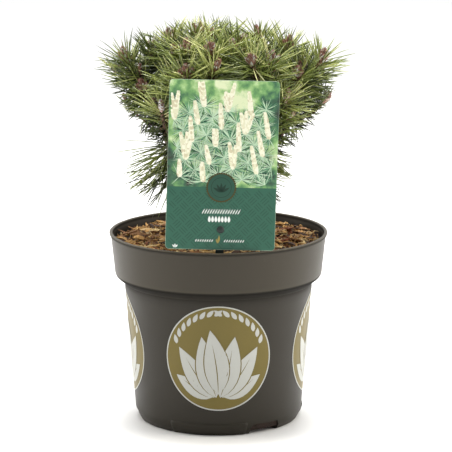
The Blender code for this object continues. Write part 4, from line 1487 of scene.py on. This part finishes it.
def grow():
    """The skeleton: the trunk's line, each bough's line and radius, and the shoots of each mass."""
    trunk = trunk_line()
    boughs = {}
    masses = {}
    for row in BOUGHS:
        line = bough_line(row, trunk)
        radius = row.radius * MM
        boughs[row.name] = (stretch(line, 0.0, BARE_SHARE), radius)
        masses[row.name] = [Shoot(stretch(line, BARE_SHARE, 1.0), radius * BOUGH_END_TAPER, 0.0)]
    top_way = (trunk[-1] - trunk[-2]).normalized()
    leader = reach_curve(trunk[-1], top_way, LEADER_TIP, UP)
    masses["leader"] = [Shoot(leader, TRUNK_TOP_RADIUS, 0.0)]
    masses[TWIG_OWNER].append(thin_twig(masses[TWIG_OWNER][0]))
    taken = [as_array(line) for line, _ in boughs.values()]
    taken += [as_array(shoot.line) for shoots in masses.values() for shoot in shoots]
    counts = {row.name: row.shoots for row in BOUGHS}
    counts["leader"] = LEADER_SHOOTS
    for name, shoots in masses.items():
        shoots += side_shoots(name, shoots[0], counts[name], taken)
    for name, shoots in masses.items():
        if not name.startswith(HANGING):
            shoots += side_shoots(f"{name} fine 0", shoots[0], 1, taken, FINE_SHOOTS)
    return trunk, boughs, masses


# Limbs and shoots with bark


# How finely a limb is cut up, and how high and how close its plates of bark are
Bark = namedtuple("Bark", "steps sides relief grain")
TRUNK_BARK = Bark(150, 48, 0.9 * MM, 330.0)
BOUGH_BARK = Bark(110, 24, 0.5 * MM, 520.0)
TWIG_BARK = Bark(46, 12, 0.3 * MM, 800.0)
SUNK_FOOT = 2.0 * MM
FORK_COLLAR = 0.35
FORK_COLLAR_SHARE = 0.3
SCAR_FIRST = 6.0 * MM
SCAR_ANGLE = math.radians(60.0)
BOUGH_SCARS = 1.5 * MM
TWIG_SCARS = 1.6 * MM


def tube_faces(rings, sides):
    """Faces of a closed tube with flat ends."""
    end = (rings - 1) * sides
    ends = [tuple(reversed(range(sides))), tuple(range(end, end + sides))]
    return ends[:1] + grid_faces(rings, sides, True) + ends[1:]


def tube(line, radii, sides):
    """Vertices and faces of a closed tube of one ring round each point of a line."""
    vertices = []
    side, _ = square_to((line[1] - line[0]).normalized())
    for i, (point, radius) in enumerate(zip(line, radii)):
        along = (line[min(i + 1, len(line) - 1)] - line[max(i - 1, 0)]).normalized()
        side = (side - along * side.dot(along)).normalized()
        over = along.cross(side)
        for j in range(sides):
            turn = 2.0 * math.pi * j / sides
            vertices.append(point + (side * math.cos(turn) + over * math.sin(turn)) * radius)
    return vertices, tube_faces(len(line), sides)


def roughened(vertices, line, bark):
    """Push a tube's vertices out and in, for plates of bark and the cracks between them."""
    rough = []
    for i, vertex in enumerate(vertices):
        out = vertex - line[i // bark.sides]
        spot = Vector((vertex.x * bark.grain, vertex.y * bark.grain, vertex.z * bark.grain * 0.6))
        distances, _ = noise.voronoi(spot)
        plate = min(1.0, (distances[1] - distances[0]) * 3.0)
        swell = noise.noise(spot * 0.35)
        rough.append(vertex + out.normalized() * bark.relief * (plate - 0.7 + 0.6 * swell))
    return rough


def add_limb(heap, line, radii, bark):
    vertices, faces = tube(line, radii, bark.sides)
    heap.add(roughened(vertices, line, bark), faces)


def scar_pegs(heap, line, radii, rng, spacing):
    """The short woody pegs that fallen needles leave on old wood, spaced by the golden angle."""
    length = length_of(line)
    place = SCAR_FIRST
    turn = rng.uniform(0.0, 6.0)
    while place < length:
        share = place / length
        middle, along = point_at(line, share)
        radius = radii[round(share * (len(radii) - 1))]
        out = turned(along, SCAR_ANGLE, turn)
        root = middle + out * radius * 0.8
        tip = middle + out * (radius + rng.uniform(0.7, 1.5) * MM)
        heap.add(*tube([root, root.lerp(tip, 0.6), tip], [0.75 * MM, 0.6 * MM, 0.3 * MM], 5))
        turn += GOLDEN_ANGLE
        place += spacing


def make_limbs():
    plant = bpy.context.scene.pine_plant
    trunk, boughs, masses = grow()
    heap = Heap()
    line = stretch(trunk, 0.0, 1.0, TRUNK_BARK.steps)
    line[0] = line[0] - UP * SUNK_FOOT
    add_limb(heap, line, trunk_radii(line), TRUNK_BARK)
    rng = rng_for("scars")
    for base, radius in boughs.values():
        line = stretch(base, 0.0, 1.0, BOUGH_BARK.steps)
        radii = []
        for i in range(len(line)):
            share = i / (len(line) - 1)
            collar = FORK_COLLAR * max(0.0, 1.0 - share / FORK_COLLAR_SHARE) ** 2
            radii.append(radius * (1.0 + collar + (BOUGH_END_TAPER - 1.0) * share) * 0.94)
        add_limb(heap, line, radii, BOUGH_BARK)
        scar_pegs(heap, line, radii, rng, BOUGH_SCARS)
    names = ["trunk"] + ["bough_" + name for name in boughs]
    bark = rough_bark("pine_bark", tuple(plant.bark))
    heap.piece("trunk_and_boughs", bark, "bark", True, names)
    make_twigs(masses, rng)


def make_twigs(masses, rng):
    """The stems and shoots inside the masses, older ones rough, the thin twig smooth and reddish."""
    twigs = Heap()
    young = Heap()
    steps = TWIG_BARK.steps
    for shoots in masses.values():
        for shoot in shoots:
            wood = 1.0 - 0.8 * BUD_LENGTH / length_of(shoot.line)
            line = stretch(shoot.line, 0.0, max(0.5, wood), steps)
            end = min(TIP_RADIUS, shoot.radius)
            radii = [(shoot.radius + (end - shoot.radius) * i / steps) * 0.92 for i in range(steps + 1)]
            if shoot.bare:
                young.add(*tube(line, radii, 8))
                continue
            add_limb(twigs, line, radii, TWIG_BARK)
            scar_pegs(twigs, line, radii, rng, TWIG_SCARS)
    covered = ["needles_" + name for name in masses]
    twigs.piece("twigs", rough_bark("twig_bark", screen(104, 76, 56)), "bark", True, covered)
    young.piece("thin_twig", dry_wood("thin_twig_bark", screen(134, 92, 74)), "bark", True)


# Needles


LEADER_NEEDLE = 30.0 * MM
NEEDLE_TIP_LENGTH = 30.0 * MM
NEEDLE_LENGTH_SPREAD = 0.12
NEEDLE_OLD_ANGLE = math.radians(98.0)
NEEDLE_TIP_ANGLE = math.radians(50.0)
NEEDLE_FIRST = 3.0 * MM
# The width of a needle's cross sections from its foot on, as a share, and the section's corners
NEEDLE_WIDTHS = (0.8, 1.0, 1.0, 0.9)
NEEDLE_SECTION = ((-0.5, -0.25), (0.5, -0.25), (0.0, 0.7))
NEEDLE_BOW = -0.06
NEEDLE_POINT = 0.12
PAIR_ANGLE = math.radians(11.0)
DROOP = 0.04
HANGING_DROOP = 0.05
HANGING_CLOSENESS = 0.6
SHEATH_LENGTH = 5.0 * MM
SHEATH_RADIUS = 0.85 * MM
FOLIAGE_FLOOR = 190.0 * MM
LIMB_CLEARANCE = 0.4 * MM
OLD_THINNING = 0.55

# Tints from the oldest and most shaded needles to the youngest
NEEDLE_TINTS = (
    ("darkest", screen(28, 36, 15)),
    ("dark", screen(46, 56, 23)),
    ("deep", screen(68, 80, 34)),
    ("mid", screen(91, 104, 45)),
    ("fresh", screen(115, 128, 59)),
    ("light", screen(142, 152, 78)),
    ("lighter", screen(172, 178, 106)),
    ("palest", screen(200, 200, 138)),
)

Pairs = namedtuple("Pairs", "roots ways lengths tints waisted")


def needle_habit(name, shoot):
    """The length and angle of the oldest needles on a shoot of a mass, then those of the youngest."""
    if shoot.bare:
        return TWIG_NEEDLE, NEEDLE_OLD_ANGLE, TWIG_NEEDLE, NEEDLE_TIP_ANGLE
    oldest = {row.name: row.needle * MM for row in BOUGHS}.get(name, LEADER_NEEDLE)
    if name.startswith(HANGING):
        return oldest, HANGING_ANGLE, oldest, HANGING_ANGLE
    return oldest, NEEDLE_OLD_ANGLE, NEEDLE_TIP_LENGTH, NEEDLE_TIP_ANGLE


def needle_pairs(masses):
    """Root, direction, length and tint of every pair of needles, dealt out shoot by shoot."""
    spacing = bpy.context.scene.pine_plant.pair_spacing
    rows = []
    for name, shoots in masses.items():
        for index, shoot in enumerate(shoots):
            rng = rng_for(f"pairs {name} {index}")
            close = HANGING_CLOSENESS if name.startswith(HANGING) else 1.0
            made = shoot_pairs(rng, shoot, spacing * close, *needle_habit(name, shoot))
            rows += [(*row, not name.startswith(HANGING)) for row in made]
    roots = np.array([tuple(row[0]) for row in rows])
    ways = np.array([tuple(row[1]) for row in rows])
    lengths = np.array([row[2] for row in rows])
    tints = np.array([row[3] for row in rows])
    waisted = np.array([row[4] for row in rows])
    return Pairs(roots, ways, lengths, tints, waisted)


def shoot_pairs(rng, shoot, spacing, old_length, old_angle, tip_length, tip_angle):
    """The pairs along one shoot: old ones open and few, young ones close round the bud."""
    length = length_of(shoot.line)
    wood = length - BUD_LENGTH * 0.75
    tone = rng.gauss(0.0, 0.7)
    turn = rng.uniform(0.0, 2.0 * math.pi)
    place = max(NEEDLE_FIRST, wood * shoot.bare)
    rows = []
    while place < wood:
        share = place / wood
        root, along = point_at(shoot.line, place / length)
        angle = old_angle + (tip_angle - old_angle) * share + rng.gauss(0.0, 0.2)
        reach = old_length + (tip_length - old_length) * share
        reach *= 1.0 + NEEDLE_LENGTH_SPREAD * rng.uniform(-1.0, 1.0)
        direction = turned(along, max(0.2, angle), turn + rng.gauss(0.0, 0.12))
        sunk = root + direction * (shoot.radius * 0.5)
        if rng.random() > OLD_THINNING * (1.0 - share) ** 1.5:
            tint = 0.9 + 4.2 * share + tone + rng.gauss(0.0, 1.2)
            rows.append((sunk, direction, reach, min(max(int(tint), 0), len(NEEDLE_TINTS) - 1)))
        turn += GOLDEN_ANGLE
        place += spacing * (1.25 - 0.45 * share)
    return rows


def trimmed(pairs):
    """The pairs shortened to stay inside the crown's outline, without those that would be mere stubs."""
    lengths = np.zeros(len(pairs.lengths))
    for factor in (0.6, 0.7, 0.8, 0.9, 1.0):
        tips = pairs.roots + pairs.ways * (pairs.lengths * factor)[:, None]
        fits = np.where(pairs.waisted, in_crown(tips), in_crown(tips, False))
        lengths[fits] = pairs.lengths[fits] * factor
    good = lengths > 0.0
    return Pairs(*(values[good] for values in pairs._replace(lengths=lengths)))


def limb_points(trunk, boughs):
    centres = [as_array(trunk)]
    radii = [np.array(trunk_radii(trunk))]
    for line, radius in boughs.values():
        centres.append(as_array(line))
        radii.append(np.full(len(line), radius))
    return np.concatenate(centres), np.concatenate(radii)


def keep_clear(pairs, trunk, boughs):
    """The pairs that touch no bare limb, stay behind the card and stay above the pot."""
    centres, radii = limb_points(trunk, boughs)
    good = np.ones(len(pairs.roots), bool)
    for share in (0.25, 0.5, 0.75, 1.0):
        points = pairs.roots + pairs.ways * (pairs.lengths * share)[:, None]
        gap = (np.linalg.norm(points[:, None, :] - centres[None], axis=2) - radii).min(axis=1)
        good &= gap > LIMB_CLEARANCE
        good &= ~near_card(points, 2.0 * MM)
        good &= points[:, 2] > FOLIAGE_FLOOR
    return Pairs(*(values[good] for values in pairs))


def unit(vectors):
    return vectors / np.linalg.norm(vectors, axis=-1, keepdims=True)


def needle_rings(pairs, draw):
    """Cross sections along both needles of each pair: flat inside, round outside and pointed."""
    plant = bpy.context.scene.pine_plant
    number = len(pairs.roots)
    any_way = unit(draw.normal(size=(number, 3)))
    fan = unit(np.cross(pairs.ways, any_way))
    flat = np.cross(pairs.ways, fan)
    down = np.array([0.0, 0.0, -1.0]) * np.where(pairs.waisted, DROOP, HANGING_DROOP)[:, None]
    shares = np.linspace(0.0, 1.0, len(NEEDLE_WIDTHS) + 1)[:-1]
    all_rings = []
    for side in (-1.0, 1.0):
        spread = side * (PAIR_ANGLE + draw.normal(scale=0.05, size=number))[:, None]
        direction = unit(pairs.ways + fan * spread)
        outer = unit(fan * side - direction * np.sum(fan * side * direction, axis=1, keepdims=True))
        length = pairs.lengths * (1.0 + draw.normal(scale=0.05, size=number))
        rings = []
        for share, width in zip(shares, NEEDLE_WIDTHS):
            along = direction * (length * share)[:, None]
            bow = outer * (length * NEEDLE_BOW * share * share)[:, None]
            sag = down * (length * share * share)[:, None]
            middle = pairs.roots + along + bow + sag
            corners = []
            for across, up in NEEDLE_SECTION:
                offset = flat * (across * plant.needle_width * width)
                offset += outer * (up * plant.needle_thickness * width)
                corners.append(middle + offset)
            rings.append(np.stack(corners, axis=1))
        tip = pairs.roots + direction * length[:, None]
        tip += outer * (length * NEEDLE_BOW)[:, None] + down * length[:, None]
        last = rings[-1]
        rings.append(tip[:, None, :] + (last - last.mean(axis=1, keepdims=True)) * NEEDLE_POINT)
        all_rings.append(np.stack(rings, axis=1))
    return np.concatenate(all_rings), np.concatenate([pairs.tints, pairs.tints])


def sheath_rings(pairs, draw):
    """The papery sheath at the foot of each pair."""
    any_way = unit(draw.normal(size=(len(pairs.roots), 3)))
    side = unit(np.cross(pairs.ways, any_way))
    over = np.cross(pairs.ways, side)
    rings = []
    for share, radius in ((0.0, 1.0), (1.0, 0.75)):
        middle = pairs.roots + pairs.ways * (SHEATH_LENGTH * share)
        corners = []
        for i in range(3):
            turn = 2.0 * math.pi * i / 3.0
            out = side * math.cos(turn) + over * math.sin(turn)
            corners.append(middle + out * SHEATH_RADIUS * radius)
        rings.append(np.stack(corners, axis=1))
    return np.stack(rings, axis=1)


def make_needles():
    trunk, boughs, masses = grow()
    pairs = keep_clear(trimmed(needle_pairs(masses)), trunk, boughs)
    draw = np.random.default_rng(SEED)
    rings, tints = needle_rings(pairs, draw)
    for index, (name, base) in enumerate(NEEDLE_TINTS):
        finish = waxy_needle("needle_" + name, base)
        swept_many("needles_" + name, rings[tints == index], finish)
    sheath = dry_wood("sheath", screen(118, 92, 66))
    swept_many("needle_sheaths", sheath_rings(pairs, draw), sheath)


# Buds


BUD_SCALES = 46
BUD_RADIUS = 3.3 * MM
SCALE_LENGTH = 4.8 * MM
SCALE_WIDTH = 2.3 * MM
SIDE_BUDS = (1, 4)
SIDE_BUD_RADIUS = 0.68
SIDE_BUD_ANGLES = (18.0, 34.0)
SIDE_BUD_LENGTHS = (0.55, 0.8)
BUD_STEPS = 8
CORE = 0.86
SMALLEST_CLUSTER = 0.7
SHOOT_BUD = 0.8
FINE_BUD = 0.5
RESIN_SHARES = (0.08, 0.2, 0.5)
SCALE_TINTS = ("scale", "scale", "dark", "pale")


def bud_profile(share):
    """How thick a bud is along its length, as a share of its full radius."""
    return (0.62 + 0.9 * share - 0.55 * share * share) * math.sqrt(max(0.0, 1.0 - share**3.0))


def add_bud(heaps, rng, foot, along, length, radius, resin):
    """A bud of overlapping pointed scales, spiralled round a smooth core."""
    line = [foot + along * length * i / BUD_STEPS for i in range(BUD_STEPS + 1)]
    radii = [max(0.05 * MM, radius * CORE * bud_profile(i / BUD_STEPS)) for i in range(BUD_STEPS + 1)]
    heaps["core"].add(*tube(line, radii, 10))
    number = max(18, int(BUD_SCALES * length / (16.0 * MM)))
    for i in range(number):
        share = (i + 0.5) / number
        turn = i * GOLDEN_ANGLE + rng.uniform(-0.1, 0.1)
        out = turned(along, math.pi / 2.0, turn)
        girth = max(0.35 * MM, radius * bud_profile(min(share, 0.97)))
        root = foot + along * (length * (share * 0.86 - 0.04)) + out * girth * CORE
        tint = "resin" if rng.random() < resin else rng.choice(SCALE_TINTS)
        heaps[tint].add(*scale_leaf(root, out, along, SCALE_LENGTH * (1.0 - 0.35 * share), rng))


def scale_leaf(root, out, along, length, rng):
    """One pointed scale that lies on the bud and lifts a little at its tip."""
    across = along.cross(out).normalized()
    lift = rng.uniform(0.04, 0.3)
    rows = (
        (0.0, 0.7, 0.0),
        (0.35, 1.0, 0.08),
        (0.7, 0.62, 0.16 + lift * 0.5),
        (1.0, 0.06, 0.12 + lift),
    )
    vertices = []
    for share, wide, rise in rows:
        middle = root + along * length * share + out * (length * rise * 0.55)
        for side in (-0.5, 0.0, 0.5):
            ridge = 0.22 * MM if side == 0.0 else 0.0
            vertices.append(middle + across * SCALE_WIDTH * wide * side + out * ridge)
    return vertices, grid_faces(len(rows), 3)


def make_buds():
    plant = bpy.context.scene.pine_plant
    _, _, masses = grow()
    bud = tuple(plant.bud)
    finishes = {
        "core": bud_scale("bud_core", shaded(bud, 0.5)),
        "scale": bud_scale("bud_scale", bud),
        "dark": bud_scale("bud_dark", shaded(bud, 0.6)),
        "pale": bud_scale("bud_pale", screen(206, 178, 166)),
        "resin": bud_scale("bud_resin", tuple(plant.resin)),
    }
    heaps = {name: Heap() for name in finishes}
    for name, shoots in masses.items():
        for index, shoot in enumerate(shoots):
            rng = rng_for(f"buds {name} {index}")
            is_fine = shoot.bare or shoot.radius <= FINE_SHOOTS.radius
            big = SHOOT_BUD if index else 1.0
            add_cluster(heaps, rng, shoot, FINE_BUD if is_fine else big)
    for name, finish in finishes.items():
        heaps[name].piece("buds_" + name, finish, "needles")


def add_cluster(heaps, rng, shoot, big):
    """The main bud at a shoot's tip, with smaller ones round its foot."""
    length = BUD_LENGTH * 1.2 * big
    total = length_of(shoot.line)
    foot, along = point_at(shoot.line, 1.0 - BUD_LENGTH * 0.95 * big / total)
    tip_way = (along + UP * 0.25).normalized()
    resin = rng.choice(RESIN_SHARES)
    add_bud(heaps, rng, foot, tip_way, length, BUD_RADIUS * big, resin)
    if big < SMALLEST_CLUSTER:
        return
    turn = rng.uniform(0.0, 2.0 * math.pi)
    for i in range(rng.randint(*SIDE_BUDS)):
        angle = math.radians(rng.uniform(*SIDE_BUD_ANGLES))
        out = turned(tip_way, angle, turn + i * GOLDEN_ANGLE)
        side_length = length * rng.uniform(*SIDE_BUD_LENGTHS)
        side_radius = BUD_RADIUS * big * SIDE_BUD_RADIUS
        add_bud(heaps, rng, foot + out * 1.2 * MM, out, side_length, side_radius, resin)


# Stage


CAMERA_PLACE = Vector((6.65, -2382.0, 668.0)) * MM
CAMERA_PITCH = math.radians(11.8)
FOCAL_PIXELS = 2780.0
PICTURE_PIXELS = 452.0
SENSOR = 36.0
FLOOR_HALF = 9.0
WARM = (1.0, 0.945, 0.82)
# Each light's name, place, width and height, power and colour
LIGHTS = (
    ("softbox_left", (-1.5, 0.1, 0.9), (0.9, 1.6), 13.0, WARM),
    ("softbox_right", (1.5, -0.2, 0.9), (0.9, 1.6), 18.0, WARM),
    ("overhead", (0.0, 0.3, 2.1), (0.9, 0.9), 60.0, WHITE),
)
LIGHT_TARGET = Vector((0.0, 0.0, 0.2))
WORLD_FRONT = 0.05
WORLD_BACK = 1.22


def add_area(name, place, size_m, power, tint):
    light = bpy.data.lights.new(name, "AREA")
    light.shape = "RECTANGLE"
    light.size = size_m[0]
    light.size_y = size_m[1]
    light.energy = power
    light.color = tint
    lamp = bpy.data.objects.new(name, light)
    lamp.location = place
    lamp.rotation_euler = (LIGHT_TARGET - Vector(place)).to_track_quat("-Z", "Y").to_euler()
    bpy.context.scene.collection.objects.link(lamp)


def studio_world(strength):
    """Soft white light from all round, weaker from the side where the camera stands."""
    world = bpy.data.worlds.new("studio")
    world.use_nodes = True
    tree = world.node_tree
    place = tree.nodes.new("ShaderNodeTexCoord")
    split = tree.nodes.new("ShaderNodeSeparateXYZ")
    spread = tree.nodes.new("ShaderNodeMapRange")
    tree.links.new(place.outputs["Generated"], split.inputs[0])
    tree.links.new(split.outputs["Y"], spread.inputs["Value"])
    ends = {"From Min": -0.95, "From Max": 0.0, "To Min": WORLD_FRONT, "To Max": WORLD_BACK * strength}
    for key, value in ends.items():
        spread.inputs[key].default_value = value
    background = tree.nodes["Background"]
    background.inputs["Color"].default_value = (1.0, 1.0, 1.0, 1.0)
    tree.links.new(spread.outputs["Result"], background.inputs["Strength"])
    return world


def make_stage():
    stage = bpy.context.scene.pine_stage
    corners = [(x * FLOOR_HALF, y * FLOOR_HALF, 0.0) for x, y in ((-1, -1), (1, -1), (1, 1), (-1, 1))]
    mesh = bpy.data.meshes.new("floor")
    mesh.from_pydata(corners, [], [(0, 1, 2, 3)])
    floor = bpy.data.objects.new("floor", mesh)
    finish = Finish("pale_floor", tuple(stage.floor), 0.8, Specular_IOR_Level=0.2)
    finish.feed("Roughness", finish.noise(3.0, 2.0) * 0.1 + 0.75)
    mesh.materials.append(finish.material)
    bpy.context.scene.collection.objects.link(floor)
    bpy.context.scene.world = studio_world(stage.light)
    bpy.context.scene.view_settings.view_transform = "Standard"
    for name, place, size_m, power, tint in LIGHTS:
        add_area(name, place, size_m, power * stage.light, tint)
    camera = bpy.data.cameras.new("camera")
    camera.sensor_width = SENSOR
    camera.lens = SENSOR * FOCAL_PIXELS / PICTURE_PIXELS
    camera.clip_start = 0.05
    camera.clip_end = 60.0
    view = bpy.data.objects.new("camera", camera)
    view.location = CAMERA_PLACE
    view.rotation_euler = (math.pi / 2.0 - CAMERA_PITCH, 0.0, 0.0)
    bpy.context.scene.collection.objects.link(view)
    bpy.context.scene.camera = view


# Operators


class PINE_OT_pot(bpy.types.Operator):
    """Make the moulded nursery pot with its rolled lip and drain notches"""

    bl_idname = "pine.pot"
    bl_label = "Nursery Pot"

    def execute(self, context):
        make_pot()
        return {"FINISHED"}


class PINE_OT_prints(bpy.types.Operator):
    """Print the gold discs with their pale sprigs on the pot"""

    bl_idname = "pine.prints"
    bl_label = "Printed Discs"

    def execute(self, context):
        make_prints()
        return {"FINISHED"}


class PINE_OT_soil(bpy.types.Operator):
    """Fill the pot with peat, bark chips and coir fibres"""

    bl_idname = "pine.soil"
    bl_label = "Soil and Bark Chips"

    def execute(self, context):
        make_soil()
        return {"FINISHED"}


class PINE_OT_label(bpy.types.Operator):
    """Print the picture label on its card"""

    bl_idname = "pine.label"
    bl_label = "Picture Label"

    def execute(self, context):
        make_label()
        return {"FINISHED"}


class PINE_OT_peg(bpy.types.Operator):
    """Make the peg and the stud that hold the label"""

    bl_idname = "pine.peg"
    bl_label = "Label Peg"

    def execute(self, context):
        make_peg()
        return {"FINISHED"}


class PINE_OT_limbs(bpy.types.Operator):
    """Grow the trunk, the boughs and the twigs with their rough bark"""

    bl_idname = "pine.limbs"
    bl_label = "Trunk, Boughs and Twigs"

    def execute(self, context):
        make_limbs()
        return {"FINISHED"}


class PINE_OT_needles(bpy.types.Operator):
    """Grow the paired needles and their sheaths"""

    bl_idname = "pine.needles"
    bl_label = "Needles"

    def execute(self, context):
        make_needles()
        return {"FINISHED"}


class PINE_OT_buds(bpy.types.Operator):
    """Grow the clusters of scaly winter buds"""

    bl_idname = "pine.buds"
    bl_label = "Buds"

    def execute(self, context):
        make_buds()
        return {"FINISHED"}


class PINE_OT_stage(bpy.types.Operator):
    """Set the pale floor, the soft studio light and the camera"""

    bl_idname = "pine.stage"
    bl_label = "Studio Stage"

    def execute(self, context):
        make_stage()
        return {"FINISHED"}


OPERATORS = (
    PINE_OT_pot,
    PINE_OT_prints,
    PINE_OT_soil,
    PINE_OT_label,
    PINE_OT_peg,
    PINE_OT_limbs,
    PINE_OT_needles,
    PINE_OT_buds,
    PINE_OT_stage,
)


class PINE_PT_panel(bpy.types.Panel):
    """Lists the pieces of the potted pine and their settings"""

    bl_idname = "PINE_PT_panel"
    bl_label = "Potted Mountain Pine"
    bl_space_type = "VIEW_3D"
    bl_region_type = "UI"
    bl_category = "Pine"

    def draw(self, context):
        for operator in OPERATORS:
            self.layout.operator(operator.bl_idname)
        for name, group in GROUPS.items():
            box = self.layout.box()
            box.label(text=group.__name__)
            for key in group.__annotations__:
                box.prop(getattr(context.scene, name), key)


def register():
    for name, group in GROUPS.items():
        bpy.utils.register_class(group)
        setattr(bpy.types.Scene, name, PointerProperty(type=group))
    for operator in OPERATORS:
        bpy.utils.register_class(operator)
    bpy.utils.register_class(PINE_PT_panel)


def unregister():
    bpy.utils.unregister_class(PINE_PT_panel)
    for operator in reversed(OPERATORS):
        bpy.utils.unregister_class(operator)
    for name, group in GROUPS.items():
        delattr(bpy.types.Scene, name)
        bpy.utils.unregister_class(group)


def main():
    register()
    bpy.ops.pine.pot()
    bpy.ops.pine.prints()
    bpy.ops.pine.soil()
    bpy.ops.pine.label()
    bpy.ops.pine.peg()
    bpy.ops.pine.limbs()
    bpy.ops.pine.needles()
    bpy.ops.pine.buds()
    bpy.ops.pine.stage()


if __name__ == "__main__":
    main()
